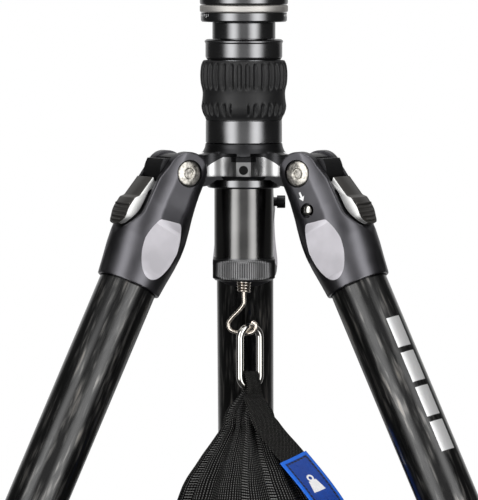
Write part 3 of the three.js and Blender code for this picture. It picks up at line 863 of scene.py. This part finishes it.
def gripShape():
    g = grip
    shape = spun([(g["bore"], g["bottom"])] + smoothPath2([(r, z) for z, r in g["outline"]]) + [(g["bore"], 54.4)],
                 True, g["steps"])
    for vert in shape.verts:
        radius = math.hypot(vert.co.x, vert.co.y)
        if radius < g["bore"] + 0.5:
            continue
        turn = math.atan2(vert.co.y, vert.co.x) / (2 * math.pi) * g["ribs"]
        for low, high, short in ((*g["longRibs"], False), (*g["shortRibs"], True)):
            if not low < vert.co.z < high or (short and round(turn + 1) % 8 in (0, 1)):
                continue
            across = abs(turn - round(turn)) * 2          # 0 on the rib, 1 between ribs
            edge = math.sin(min(1, (vert.co.z - low) / 2.4, (high - vert.co.z) / 2.4) * math.pi / 2)
            crest = 0.62 - 0.34 * edge                    # petals, narrow along their middles
            groove = max(0, (across - crest) / (1 - crest))
            scale = 1 - g["depth"] * math.sin(groove * math.pi / 2) * edge / radius
            vert.co.x *= scale
            vert.co.y *= scale
    return shape


piece("lockGrip", gripShape(), hubPlace, "column_lock", [gripRubber], ["column_lock_grip"], 60)
print("column lock made")


# ---- column ----
columnTube = [(12.95, -50), (14.55, -50), (14.55, 64.7), (12.95, 64.7)]
piece("columnTube", wrapUv(spun(columnTube, True, 128), 14.55), hubPlace, "column", [columnBlack], ["column_tube"])
boss = [(0, 56), (12.6, 56), (12.6, 65), (15.5, 65, 0.3), (15.5, 73, 0.3), (4.7, 73), (4.7, 79.5, 0.4), (0, 79.5)]
piece("columnTopBoss", spun(boss, False, 128), hubPlace, "column", [glossBlack], ["column_top_boss"])

endRing = {"ribs": 90}


def endRingShape():
    points = [(3.6, -54), (14.2, -54, 0.3), (14.75, -53.3, 0.2), (15.2, -53.1, 0.2)]
    points += [(15.35, -52.8 + 0.95 * k) for k in range(10)]
    points += [(15.2, -43.5, 0.2), (14.95, -43.2, 0.2), (14.95, -42.7), (14.85, -42.7), (14.85, -50.3), (3.6, -50.3)]
    shape = spun(points, True, endRing["ribs"] * 5, 2)
    for vert in shape.verts:
        radius = math.hypot(vert.co.x, vert.co.y)
        if radius > 15.3 and -53.1 < vert.co.z < -43.4:
            turn = math.atan2(vert.co.y, vert.co.x) / (2 * math.pi) * endRing["ribs"]
            across = abs(turn - round(turn)) * 2
            scale = 1 - 0.38 * across / radius
            vert.co.x *= scale
            vert.co.y *= scale
    return shape


piece("columnEndRing", endRingShape(), hubPlace, "end_ring", [knurlBlack], ["column_end_ring"], 50)
print("column made")


# ---- spring hook and link ----
spring = {"radius": (3.1, 2.6), "low": -59.6, "high": -52.5, "turns": 5, "wire": 0.62}
hook = {"turn": -25, "wire": 1.0,
        "route": [(0, -58.6), (0, -62), (0, -65.6), (-2, -68.5), (-6.6, -73), (-8.5, -76), (-7.2, -79),
                  (-2.2, -80.3), (2.6, -80.4), (5.8, -79), (6.6, -76), (4.6, -74.6)]}
link = {"turn": 33, "centre": (3, -92.1), "arc": 5.85, "bar": 1.85, "straight": 18.2}


def springShape():
    path = []
    steps = int(spring["turns"] * 24)
    for k in range(steps + 1):
        t = k / steps
        angle = 2 * math.pi * spring["turns"] * t
        radius = spring["radius"][0] + (spring["radius"][1] - spring["radius"][0]) * t
        height = spring["high"] + (spring["low"] - spring["high"]) * t
        path.append((radius * math.cos(angle), radius * math.sin(angle), height))
    return wireAlong(path, spring["wire"], False, 3)


def hookShape():
    heading = math.radians(hook["turn"])
    points = [(u * math.cos(heading), u * math.sin(heading), z) for u, z in hook["route"]]
    return wireAlong(smoothPath(points, 8), hook["wire"], False, 5)


def linkShape():
    x, z = link["centre"]
    path = []
    for k in range(48):
        angle = 2 * math.pi * (k + 0.5) / 48
        rise = link["straight"] / 2 * (1 if math.sin(angle) > 0 else -1)
        path.append((link["arc"] * math.cos(angle), 0, link["arc"] * math.sin(angle) + rise))
    shape = wireAlong(path, link["bar"], True, 8)
    turnedBy(shape, link["turn"])
    bmesh.ops.translate(shape, verts=shape.verts, vec=(x, 0, z))
    return shape


springPiece = piece("hookSpring", springShape(), hubPlace, None, [springWarm], ["hook_spring"], 60)
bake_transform(springPiece)
piece("weightHook", hookShape(), hubPlace, "hook", [springWarm], ["weight_hook"], 60)
piece("snapRing", linkShape(), hubPlace, "link", [chrome], ["snap_ring"], 60)
print("hook made")


# ---- ball head ----
head = {"ball": 108, "housing": 21.7}


def indexTicks():
    shapes = []
    for k in range(-4, 44):   # the scale stops short of the front
        tall = 1.9 if k % 6 == 0 else 1.1
        tick = blockOf((21.15, -0.09, 77.2 - tall), (21.28, 0.09, 77.2))
        shapes.append(turnedBy(tick, k * 5))
    return joined(shapes)


def housingShape():
    rim = head["ball"] + 4.1
    cavity = 17.8
    sphere = bmesh.new()
    bmesh.ops.create_uvsphere(sphere, u_segments=64, v_segments=40, radius=cavity)
    bmesh.ops.translate(sphere, verts=sphere.verts, vec=(0, 0, head["ball"]))
    shell = spun([(0, 81.8), (21.3, 81.8, 0.3), (21.7, 82.6, 0.4), (21.7, 100, 1), (21.2, 105, 2), (20.6, 110.4, 1),
                  (19.6, rim, 0.8), (0, rim)], False, 128)
    notch = drawnOut(rounded([(-7.2, 101, 6), (7.2, 101, 6), (7.2, 140), (-7.2, 140)], True, 6), 15)
    turnedBy(notch, 90)
    bmesh.ops.translate(notch, verts=notch.verts, vec=(-15, 0, 0))
    body = combined(shell, [sphere, notch])
    return bevelSharp(body, 0.35, 2, 50)


def knobShape(radius, shaft, near, far, ribs, azimuth, height):
    points = [(0, near - 1.8), (shaft, near - 1.8), (shaft, near), (radius - 1.2, near, 0.5), (radius, near + 1, 0.5)]
    points += [(radius, near + 1 + (far - near - 3) * k / 8) for k in range(1, 8)]
    points += [(radius, far - 1.6, 1), (radius - 1.6, far, 0.8), (radius * 0.55, far, 0.3),
               (radius * 0.5, far - 0.6, 0.3), (0, far - 0.6)]
    shape = spun(points, False, ribs * 12, 3)
    for vert in shape.verts:
        if near + 1.2 < vert.co.z < far - 1.2 and math.hypot(vert.co.x, vert.co.y) > radius * 0.8:
            turn = math.atan2(vert.co.y, vert.co.x) / (2 * math.pi) * ribs
            across = abs(turn - round(turn)) * 2
            scale = 1 - 0.6 * max(0, across - 0.5) * 2 / radius
            vert.co.x *= scale
            vert.co.y *= scale
    turn = Matrix.Rotation(math.radians(azimuth), 4, "Z") @ Matrix.Rotation(math.pi / 2, 4, "Y")
    bmesh.ops.transform(shape, matrix=Matrix.Translation((0, 0, height)) @ turn, verts=shape.verts)
    return shape


def stemShape():
    seat, centre = 17.3, head["ball"]
    under = [(seat * math.sin(math.radians(a)), centre + seat * math.cos(math.radians(a))) for a in (0, 6, 12, 18.2)]
    return spun(under + [(5.4, centre + 21.2, 0.8), (10.6, centre + 23, 0.8), (12, centre + 25, 0.4),
                         (0, centre + 25)], False, 72)


headBase = [(5, 73.3), (20.6, 73.3, 0.3), (21.2, 74, 0.3), (21.2, 77.8, 0.25), (5, 77.8)]
piece("headBase", spun(headBase, True, 128), hubPlace, "column", [glossBlack], ["head_base"])
piece("indexTicks", indexTicks(), hubPlace, "column", [whitePrint])
indexRing = [(5, 78.1), (21.2, 78.1, 0.2), (21.7, 78.6, 0.2), (21.7, 81, 0.2), (21.3, 81.5, 0.2), (5, 81.5)]
piece("panIndexRing", spun(indexRing, True, 128), hubPlace, "head", [ringSilver], ["pan_index_ring"])
piece("ballHousing", housingShape(), hubPlace, "head", [glossBlack], ["ball_housing"], 30)
piece("ballLockKnob", knobShape(9.5, 4, 22.2, 37.5, 18, 270, 100), hubPlace, "ball_knob", [knobRubber],
      ["ball_lock_knob"], 50)
piece("panLockKnob", knobShape(5.5, 2.5, 22.2, 32, 12, 30, 92), hubPlace, "pan_knob", [knobRubber],
      ["pan_lock_knob"], 50)
ballShape = bmesh.new()
bmesh.ops.create_uvsphere(ballShape, u_segments=64, v_segments=40, radius=17)
bmesh.ops.translate(ballShape, verts=ballShape.verts, vec=(0, 0, head["ball"]))
piece("headBall", ballShape, hubPlace, "ball_body", [ballMetal], ["ball"])
piece("ballStem", stemShape(), hubPlace, "clamp", [satinBlack], ["ball_stem"])

clamp = {"floor": 133.3}


def lifted(points, height):
    return [(p[0], p[1] + height, *p[2:]) for p in points]


def clampBody():
    outline = lifted([(-22, 0, 1), (13, 0, 0.5), (13, 7, 0.4), (-17.5, 7, 0.2), (-15, 11.5, 0.4), (-16, 13, 0.5),
                      (-22, 13, 1)], clamp["floor"])
    shape = drawnOut(rounded(outline, True, 3), 19, 0.5, 2, 40)
    return combined(shape, [rodOf(3, 4, 16, "X", (0, 0, clamp["floor"] + 3.7))])


def clampJaw():
    outline = lifted([(13.3, 0.5, 0.4), (20, 0.5, 0.8), (20, 13, 1), (16, 13, 0.5), (15, 11.5, 0.4), (17.5, 7.3, 0.2),
                      (13.3, 7.3, 0.3)], clamp["floor"])
    shape = drawnOut(rounded(outline, True, 3), 19, 0.5, 2, 40)
    return combined(shape, [rodOf(3, 12, 30, "X", (0, 0, clamp["floor"] + 3.7))])


def plateShape():
    low = clamp["floor"] + 7.3
    outline = lifted([(-16.9, 0.3, 0.3), (16.9, 0.3, 0.3), (14.4, 4.6, 0.3), (15.4, 6.6, 0.4), (19, 7.6, 0.4),
                      (19, 11, 0.5), (-19, 11, 0.5), (-19, 7.6, 0.4), (-15.4, 6.6, 0.4), (-14.4, 4.6, 0.3)], low)
    shape = drawnOut(rounded(outline, True, 3), 25, 0.45, 2, 40)
    return combined(shape, [rodOf(7.8, low - 1, low + 6.5), rodOf(3.5, low, low + 12)])


def plateRibs():
    top = clamp["floor"] + 18.3
    shapes = []
    for k in range(17):
        y = -22.4 + 2.8 * k
        for low, high in ((-17.4, -5.2), (5.2, 17.4)):
            shapes.append(blockOf((low, y - 0.55, top - 0.3), (high, y + 0.55, top + 0.25), 0.2))
    return joined(shapes)


def screwShape():
    low = clamp["floor"] + 7.3
    points = [(0, low + 1.2), (7.4, low + 1.2, 0.4), (7.4, low + 6.2, 0.4), (3.1, low + 6.2)]
    for k in range(7):
        z = low + 6.8 + 1.27 * k
        points += [(2.6, z), (3.15, z + 0.5), (3.15, z + 0.7)]
    points += [(2.5, low + 16), (0, low + 16)]
    slot = blockOf((-5, -0.8, low), (5, 0.8, low + 2.6))
    return combined(spun(points, False, 48, 2), [slot])


piece("clampBody", clampBody(), hubPlace, "clamp", [satinBlack], ["clamp_body"])
piece("clampJaw", clampJaw(), hubPlace, "jaw", [satinBlack], ["clamp_jaw"])
jawKnob = knobShape(8, 2.6, 20.3, 32, 16, 0, clamp["floor"] + 3.7)
jawScrew = rodOf(2.6, 6, 20.3, "X", (0, 0, clamp["floor"] + 3.7))
piece("clampKnob", joined([jawKnob, jawScrew]), hubPlace, "jaw_knob", [knobRubber], ["clamp_knob"], 50)
piece("releasePlate", plateShape(), hubPlace, "plate", [satinBlack], ["quick_release_plate"])
piece("platePads", plateRibs(), hubPlace, "plate", [knobRubber])
piece("cameraScrew", screwShape(), hubPlace, "plate_screw", [boltSteel], ["camera_screw"], 50)
print("head made")


# ---- ballast bag: a sack of knitted mesh, gathered into the link ----
bag = {
    "profile": [(3.4, -107.5), (4.6, -110), (6.4, -113), (9.3, -117), (12.4, -121), (16.6, -128), (23.2, -137),
                (31, -147), (38.5, -158), (43.4, -171), (46, -188), (46, -204), (44, -220), (39.5, -234), (31, -245), (18, -251),
                (7, -252), (0.4, -252)],
    "columns": 160, "rows": 96, "neck": (3, -113), "foot": -252,
    "lean": [(-105, 3.4), (-121, 2.8), (-128, 3.2), (-137, 3.6), (-147, 4.6), (-161, 6.2), (-175, 5),
             (-200, 1.6), (-230, 0.6), (-252, 3)],
    "pleats": 15, "pleatDepth": 0.16, "seams": (22, 61, 108, 149, 201, 262, 286, 333),
    "frames": 14, "cap": 3.0,
}


def bagShape():
    b = bag
    profile = smoothPath([(r, z, 0) for r, z in b["profile"]], 12)
    lengths = [0]
    for before, after in zip(profile, profile[1:]):
        lengths.append(lengths[-1] + (after - before).length)

    def along(distance):
        for k in range(1, len(profile)):
            if lengths[k] >= distance:
                t = (distance - lengths[k - 1]) / (lengths[k] - lengths[k - 1])
                return profile[k - 1].lerp(profile[k], t)
        return profile[-1]

    bm = bmesh.new()
    bmesh.ops.create_grid(bm, x_segments=b["columns"], y_segments=b["rows"], size=0.5)
    layer = bm.loops.layers.uv.new("wrap")
    around, total = 2 * math.pi * 46, lengths[-1]
    for face in bm.faces:
        for loop in face.loops:
            loop[layer].uv = ((loop.vert.co.x + 0.5) * around / 10, (0.5 - loop.vert.co.y) * total / 10)
    for vert in bm.verts:
        turn, down = vert.co.x + 0.5, 0.5 - vert.co.y
        point = along(down ** 1.1 * total)
        angle = 2 * math.pi * turn
        fade = max(0, 1 - (b["neck"][1] - point.y) / 95)
        pleat = math.sin(b["pleats"] * angle + 1.5 * math.sin(2 * angle)) * b["pleatDepth"] * fade ** 1.6
        soft = noise.noise(Vector((math.cos(angle) * 1.6, math.sin(angle) * 1.6, point.y / 28))) * 0.06
        soft *= min(1, (b["neck"][1] - point.y) / 40) if point.y < b["neck"][1] else 0
        radius = point.x * (1 + pleat * min(1, point.x / 9) + soft)
        vert.co = (radius * math.cos(angle) + between(b["lean"], point.y), radius * math.sin(angle), point.y)
    bmesh.ops.remove_doubles(bm, verts=bm.verts, dist=0.01)
    holes = [e for e in bm.edges if e.is_boundary]
    bmesh.ops.holes_fill(bm, edges=holes, sides=0)
    bmesh.ops.recalc_face_normals(bm, faces=bm.faces)
    return bm


def settled(bm, values):
    # the sack fills and sags in a short cloth run, made in metres, and no point moves past the cap
    bm.transform(Matrix.Scale(mm, 4))
    body = asObject(bm)
    before = [v.co.copy() for v in body.data.vertices]
    pinned = body.vertex_groups.new(name="neck")
    for v in body.data.vertices:
        held = min(1, max(0, 1 - (values["neck"][1] - v.co.z / mm) / 12))
        if held > 0:
            pinned.add([v.index], held, "REPLACE")
    cloth = body.modifiers.new("cloth", "CLOTH")
    settings = cloth.settings
    settings.quality = 5
    settings.mass = 0.2
    settings.tension_stiffness = 12
    settings.compression_stiffness = 12
    settings.shear_stiffness = 4
    settings.bending_stiffness = 0.05
    settings.vertex_group_mass = "neck"
    settings.use_pressure = True
    settings.uniform_pressure_force = 1.2
    settings.shrink_min = -0.015
    settings.effector_weights.gravity = 0.3
    cloth.collision_settings.use_self_collision = False
    for number in range(1, values["frames"] + 1):
        scene.frame_set(number)
    graph = bpy.context.evaluated_depsgraph_get()
    moved = [v.co.copy() for v in body.evaluated_get(graph).data.vertices]
    body.modifiers.remove(cloth)
    result = bmesh.new()
    result.from_mesh(body.data)
    for vert, start, end in zip(result.verts, before, moved):
        step = end - start
        if step.length > values["cap"] * mm:
            step *= values["cap"] * mm / step.length
        vert.co = (start + step) / mm
    bpy.data.objects.remove(body)
    scene.frame_set(1)
    return result


def meshKnit():
    # a fine knit in rows, with ladder stripes that run up to the neck
    material, tree, shader = newMaterial("meshKnit", "mesh_cloth", {
        "Base Color": (0.012, 0.012, 0.012), "Roughness": 0.8, "Specular IOR Level": 0.07})
    source = addNode(tree, "TexCoord").outputs["UV"]
    split = addNode(tree, "SeparateXYZ", None, {"Vector": source})

    def wave(value, perUnit, phase=0.0):
        scaled = addNode(tree, "Math", {"operation": "MULTIPLY_ADD"},
                         {0: value, 1: perUnit * 2 * math.pi, 2: phase})
        return addNode(tree, "Math", {"operation": "SINE"}, {0: scaled.outputs["Value"]}).outputs["Value"]

    def calc(operation, first, second, third=None):
        sockets = {0: first, 1: second}
        if third is not None:
            sockets[2] = third
        return addNode(tree, "Math", {"operation": operation}, sockets).outputs["Value"]

    across, down = split.outputs["X"], split.outputs["Y"]
    columns = wave(across, 6.4)
    rows = wave(down, 7.6)
    knit = calc("MULTIPLY", columns, calc("MULTIPLY_ADD", rows, 0.45, 0.65))
    rungs = wave(down, 6.5)
    nearest = 10.0
    for turn in bag["seams"]:
        away = calc("ABSOLUTE", calc("SUBTRACT", across, turn / 360 * 2 * math.pi * 4.6), 0.0)
        nearest = calc("MINIMUM", away, nearest)
    ladder = addNode(tree, "MapRange", {"interpolation_type": "SMOOTHSTEP"},
                     {"Value": nearest, "From Min": 0.16, "From Max": 0.28, "To Min": 1.0, "To Max": 0.0}).outputs["Result"]
    grain = noiseOn(tree, 22, (1, 1, 1), 3, True)
    height = calc("ADD", calc("MULTIPLY", calc("MULTIPLY", rungs, ladder), 1.6), knit)
    height = calc("MULTIPLY_ADD", grain.outputs["Fac"], 1.2, height)
    tint = ramp(tree, calc("MULTIPLY_ADD", height, 0.25, 0.4), [
        (0.4, (0.0008, 0.0008, 0.0008)), (0.62, (0.006, 0.006, 0.0062)), (0.8, (0.16, 0.16, 0.155))])
    tree.links.new(tint, shader.inputs["Base Color"])
    bumpFrom(tree, shader, height, 0.6, 0.0003)
    return material


def webWeave():
    material, tree, shader = newMaterial("webWeave", "webbing", {
        "Base Color": (0.012, 0.012, 0.012), "Roughness": 0.75, "Specular IOR Level": 0.07})
    source = addNode(tree, "TexCoord").outputs["UV"]
    split = addNode(tree, "SeparateXYZ", None, {"Vector": source})

    def wave(value, perUnit):
        scaled = addNode(tree, "Math", {"operation": "MULTIPLY"}, {0: value, 1: perUnit * 2 * math.pi})
        return addNode(tree, "Math", {"operation": "SINE"}, {0: scaled.outputs["Value"]}).outputs["Value"]

    knit = addNode(tree, "Math", {"operation": "MULTIPLY"},
                   {0: wave(split.outputs["X"], 8.0), 1: wave(split.outputs["Y"], 9.0)})
    grain = noiseOn(tree, 18, (1, 1, 1), 3, True)
    height = addNode(tree, "Math", {"operation": "MULTIPLY_ADD"},
                     {0: grain.outputs["Fac"], 1: 1.5, 2: knit.outputs["Value"]}).outputs["Value"]
    level = addNode(tree, "Math", {"operation": "MULTIPLY_ADD"}, {0: height, 1: 0.3, 2: 0.3}).outputs["Value"]
    tint = ramp(tree, level, [(0.4, (0.0008, 0.0008, 0.0008)), (0.6, (0.006, 0.006, 0.0058)),
                              (0.8, (0.1, 0.098, 0.093))])
    tree.links.new(tint, shader.inputs["Base Color"])
    bumpFrom(tree, shader, height, 0.7, 0.0003)
    return material


meshCloth = meshKnit()
webbing = webWeave()
bagMesh = bagShape()
bagMesh = settled(bagMesh, bag)
bagPiece = piece("ballastBag", bagMesh, hubPlace, "bag", [meshCloth], ["ballast_bag"], 180)
print("bag made")


# ---- webbing strap through the link, and its blue weight label ----
strap = {
    "route": [(-2.9, -4.6), (-3.1, 2.0), (0, 7.2), (3.2, 2.8), (4.4, -4.0)],   # out from the link's plane, up
    "rest": [(5.8, -10.5, -114), (9, -14.5, -121), (15.3, -17.5, -129.5), (23.8, -21.7, -139), (35.8, -28.4, -153),
             (44, -33.4, -164.5), (49.2, -37, -176), (52, -38.5, -188)],
    "widths": [(0, 6.4), (0.16, 7.6), (0.27, 11), (0.38, 15.4), (0.5, 16.4), (1, 16.6)],
    "thick": [(0, 1.3), (0.1, 2.2), (0.2, 2.6), (0.34, 1.9), (0.5, 1.1), (1, 1.1)],
    "labelFrom": 0.53, "labelWidth": 19,
}


def strapPath():
    heading = math.radians(link["turn"] - 90)
    lowBar = link["centre"][1] - link["straight"] / 2 - link["arc"]
    start = [(link["centre"][0] + out * math.cos(heading), out * math.sin(heading), lowBar + up)
             for out, up in strap["route"]]
    return smoothPath(start + strap["rest"], 10)


def bandAlong(path, rows, columns, sizeAt, startAt=0.0, endAt=1.0, lift=0.0):
    # a closed band lofted along a path: the grid's y runs round the section
    lengths = [0]
    for before, after in zip(path, path[1:]):
        lengths.append(lengths[-1] + (after - before).length)
    total = lengths[-1]

    def frameAt(t):
        distance = t * total
        for k in range(1, len(path)):
            if lengths[k] >= distance or k == len(path) - 1:
                part = (distance - lengths[k - 1]) / (lengths[k] - lengths[k - 1])
                point = path[k - 1].lerp(path[k], part)
                ahead = (path[min(k + 1, len(path) - 1)] - path[max(k - 2, 0)]).normalized()
                return point, ahead

    linkWay = Vector((math.cos(math.radians(link["turn"])), math.sin(math.radians(link["turn"])), 0))
    labelWay = Vector((0.667, 0.696, 0.236))
    bm = bmesh.new()
    bmesh.ops.create_grid(bm, x_segments=rows, y_segments=columns, size=0.5)
    layer = bm.loops.layers.uv.new("wrap")
    for face in bm.faces:
        for loop in face.loops:
            along = startAt + (loop.vert.co.x + 0.5) * (endAt - startAt)
            across = math.cos((loop.vert.co.y + 0.5) * 2 * math.pi)
            across = math.copysign(abs(across) ** 0.55, across)
            loop[layer].uv = ((1 - across) / 2 * strap["labelWidth"] / 10, along * total / 10)
    for vert in bm.verts:
        t = startAt + (vert.co.x + 0.5) * (endAt - startAt)
        turn = (vert.co.y + 0.5) * 2 * math.pi
        point, ahead = frameAt(t)
        width, thick = sizeAt(t)
        blend = min(1, max(0, (t - 0.2) / 0.3))
        side = linkWay.lerp(labelWay, blend)
        side = (side - ahead * side.dot(ahead)).normalized()
        out = ahead.cross(side).normalized()
        u, v = math.cos(turn), math.sin(turn)
        u = math.copysign(abs(u) ** 0.55, u)
        v = math.copysign(abs(v) ** 0.55, v)
        bunch = max(0, 1 - abs(t - 0.2) / 0.26)
        ripple = noise.noise(Vector((u * 2.4, t * 16, 3.1))) * 0.9 * bunch + math.sin(u * 7) * 0.35 * bunch
        arch = (1 - u * u) * 0.8 * (1 - bunch)
        vert.co = point + side * u * width / 2 + out * (v * thick / 2 + ripple * abs(v) - arch + lift)
    bmesh.ops.remove_doubles(bm, verts=bm.verts, dist=0.002)
    ends = [e for e in bm.edges if e.is_boundary]
    bmesh.ops.holes_fill(bm, edges=ends, sides=0)
    bmesh.ops.recalc_face_normals(bm, faces=bm.faces)
    return bm, total


band, strapLength = bandAlong(strapPath(), 150, 40, lambda t: (between(strap["widths"], t), between(strap["thick"], t)))
strapPiece = piece("bagStrap", band, hubPlace, "bag", [webbing], ["bag_strap"], 60)
label, unused = bandAlong(strapPath(), 80, 40, lambda t: (strap["labelWidth"], 1.7), strap["labelFrom"], 1.0)


def labelFinish(start):
    # glossy blue tape, stitched round, with a white weight sign
    material, tree, shader = newMaterial("labelFinish", "blue_tape", {
        "Base Color": (0.004, 0.05, 0.33), "Roughness": 0.35, "Specular IOR Level": 0.3, "Coat Weight": 0.25,
        "Coat Roughness": 0.15})
    split = addNode(tree, "SeparateXYZ", None, {"Vector": addNode(tree, "TexCoord").outputs["UV"]})
    width = strap["labelWidth"] / 10

    def calc(operation, first, second=0.0):
        return addNode(tree, "Math", {"operation": operation}, {0: first, 1: second}).outputs["Value"]

    def step(value, edge, soft=0.012):
        return addNode(tree, "MapRange", None, {"Value": value, "From Min": edge - soft, "From Max": edge + soft,
                                                "To Min": 1.0, "To Max": 0.0}).outputs["Result"]

    across = calc("SUBTRACT", split.outputs["X"], width / 2)
    down = calc("SUBTRACT", split.outputs["Y"], start)
    fromSide = calc("SUBTRACT", width / 2, calc("ABSOLUTE", across))
    fromEdge = calc("MINIMUM", fromSide, down)
    thread = step(calc("ABSOLUTE", calc("SUBTRACT", fromEdge, 0.25)), 0.045)
    dash = step(calc("FRACT", calc("MULTIPLY", calc("ADD", across, down), 4.5)), 0.8, 0.05)
    rim = step(fromEdge, 0.17, 0.02)

    # a ring over a tapered block
    high = calc("SUBTRACT", down, 1.75)
    ringAway = calc("SQRT", calc("ADD", calc("MULTIPLY", across, across),
                                 calc("MULTIPLY", calc("SUBTRACT", high, -0.38), calc("SUBTRACT", high, -0.38))))
    ring = step(calc("ABSOLUTE", calc("SUBTRACT", ringAway, 0.15)), 0.05)
    slope = calc("ADD", 0.3, calc("MULTIPLY", high, 0.22))
    block = calc("MULTIPLY", step(calc("ABSOLUTE", across), 0.0), 0.0)
    block = calc("MULTIPLY", step(calc("SUBTRACT", calc("ABSOLUTE", across), slope), 0.0),
                 step(calc("ABSOLUTE", calc("SUBTRACT", high, 0.1)), 0.33))
    sign = calc("MAXIMUM", ring, block)

    cloud = noiseOn(tree, 140)
    blue = ramp(tree, cloud.outputs["Fac"], [(0.35, (0.0005, 0.036, 0.25)), (0.65, (0.0008, 0.048, 0.31))])

    def over(below, colour, mask):
        mix = addNode(tree, "Mix", {"data_type": "RGBA"}, {0: mask, 6: below})
        mix.inputs[7].default_value = (*colour, 1)
        return mix.outputs[2]

    tint = over(blue, (0.004, 0.12, 0.62), rim)
    tint = over(tint, (0.004, 0.004, 0.006), calc("MULTIPLY", thread, dash))
    tint = over(tint, (0.8, 0.8, 0.8), sign)
    tree.links.new(tint, shader.inputs["Base Color"])
    roughFrom(tree, shader, cloud.outputs["Fac"], 0.25, 0.4)
    sunk = calc("SUBTRACT", noiseOn(tree, 900, detail=2).outputs["Fac"], calc("MULTIPLY", thread, 3.0))
    bumpFrom(tree, shader, sunk, 0.3, 0.0002)
    return material


blueLabel = labelFinish(strap["labelFrom"] * strapLength / 10)
labelPiece = piece("bagLabel", label, hubPlace, "bag", [blueLabel], ["bag_label"], 60)
print("strap made, length", round(strapLength), "mm")


# ---- floor, world and lights ----
floor = {"radius": 1.35, "below": -0.0002}
disc = bmesh.new()
bmesh.ops.create_circle(disc, cap_ends=True, segments=96, radius=floor["radius"])
bmesh.ops.translate(disc, verts=disc.verts, vec=(0, 0, floor["below"]))
floorObject = asObject(disc)
floorObject.name = "floor"
floorPaint, tree, shader = newMaterial("floorPaint", "floor", {"Base Color": (0.8, 0.8, 0.8), "Roughness": 0.7})
cloud = noiseOn(tree, 3)
tree.links.new(ramp(tree, cloud.outputs["Fac"], [(0.3, (0.78, 0.78, 0.78)), (0.7, (0.82, 0.82, 0.82))]),
               shader.inputs["Base Color"])
floorObject.data.materials.append(floorPaint)
floorObject.visible_glossy = False

studio = {
    # heading round from the front, half width of its full part, width of its soft edge, strength
    "panels": [(-38, 2, 28, 3.5), (38, 2, 28, 3.5), (0, 5, 20, 0.45)],
    "panelHeights": (-0.55, -0.3, 0.55, 0.85),
    "base": 0.05, "behind": (0.6, 0.9, 0.55), "overhead": (0.55, 0.95, 1.1),
    "top": (1.5, (1.1, 1.1), 7),
}
world = bpy.data.worlds.new("studio")
scene.world = world
world.use_nodes = True
tree = world.node_tree
background = tree.nodes["Background"]
background.inputs["Color"].default_value = (1, 1, 1, 1)
direction = addNode(tree, "SeparateXYZ", None, {"Vector": addNode(tree, "TexCoord").outputs["Generated"]})


def worldMath(operation, first, second=0.0):
    return addNode(tree, "Math", {"operation": operation}, {0: first, 1: second}).outputs["Value"]


def softStep(value, start, end, low=0.0, high=1.0):
    return addNode(tree, "MapRange", {"interpolation_type": "SMOOTHSTEP"},
                   {"Value": value, "From Min": start, "From Max": end, "To Min": low,
                    "To Max": high}).outputs["Result"]


heading = worldMath("ARCTAN2", direction.outputs["X"], worldMath("MULTIPLY", direction.outputs["Y"], -1.0))
lowFade, lowFull, highFull, highFade = studio["panelHeights"]
within = worldMath("MULTIPLY", softStep(direction.outputs["Z"], lowFade, lowFull),
                   softStep(direction.outputs["Z"], highFull, highFade, 1.0, 0.0))
glow = studio["base"]
for turn, full, edge, strength in studio["panels"]:
    away = worldMath("ABSOLUTE", worldMath("SUBTRACT", heading, math.radians(turn)))
    panel = softStep(away, math.radians(full), math.radians(full + edge), strength, 0.0)
    glow = worldMath("MAXIMUM", worldMath("MULTIPLY", panel, within), glow)
start, end, strength = studio["behind"]
glow = worldMath("MAXIMUM", glow, softStep(direction.outputs["Y"], start, end, 0.0, strength))
start, end, strength = studio["overhead"]
glow = worldMath("MAXIMUM", glow, softStep(direction.outputs["Z"], start, end, 0.0, strength))
straight = addNode(tree, "LightPath").outputs["Is Camera Ray"]
plain = worldMath("MULTIPLY", glow, worldMath("SUBTRACT", 1.0, straight))
tree.links.new(worldMath("ADD", plain, straight), background.inputs["Strength"])


def softLamp(name, where, aim, size, power):
    lamp = bpy.data.lights.new(name, "AREA")
    lamp.shape = "RECTANGLE"
    lamp.size, lamp.size_y = size
    lamp.energy = power
    obj = bpy.data.objects.new(name, lamp)
    scene.collection.objects.link(obj)
    way = (Vector(aim) - Vector(where)).normalized()
    obj.matrix_world = Matrix.Translation(where) @ way.to_track_quat("-Z", "Y").to_matrix().to_4x4()
    obj.visible_camera = False


high, size, power = studio["top"]
softLamp("topLamp", hub + Vector((0, -0.3, high)), hub, size, power)
scene.view_settings.view_transform = "Standard"
print("lights made")

low, high = cadBox
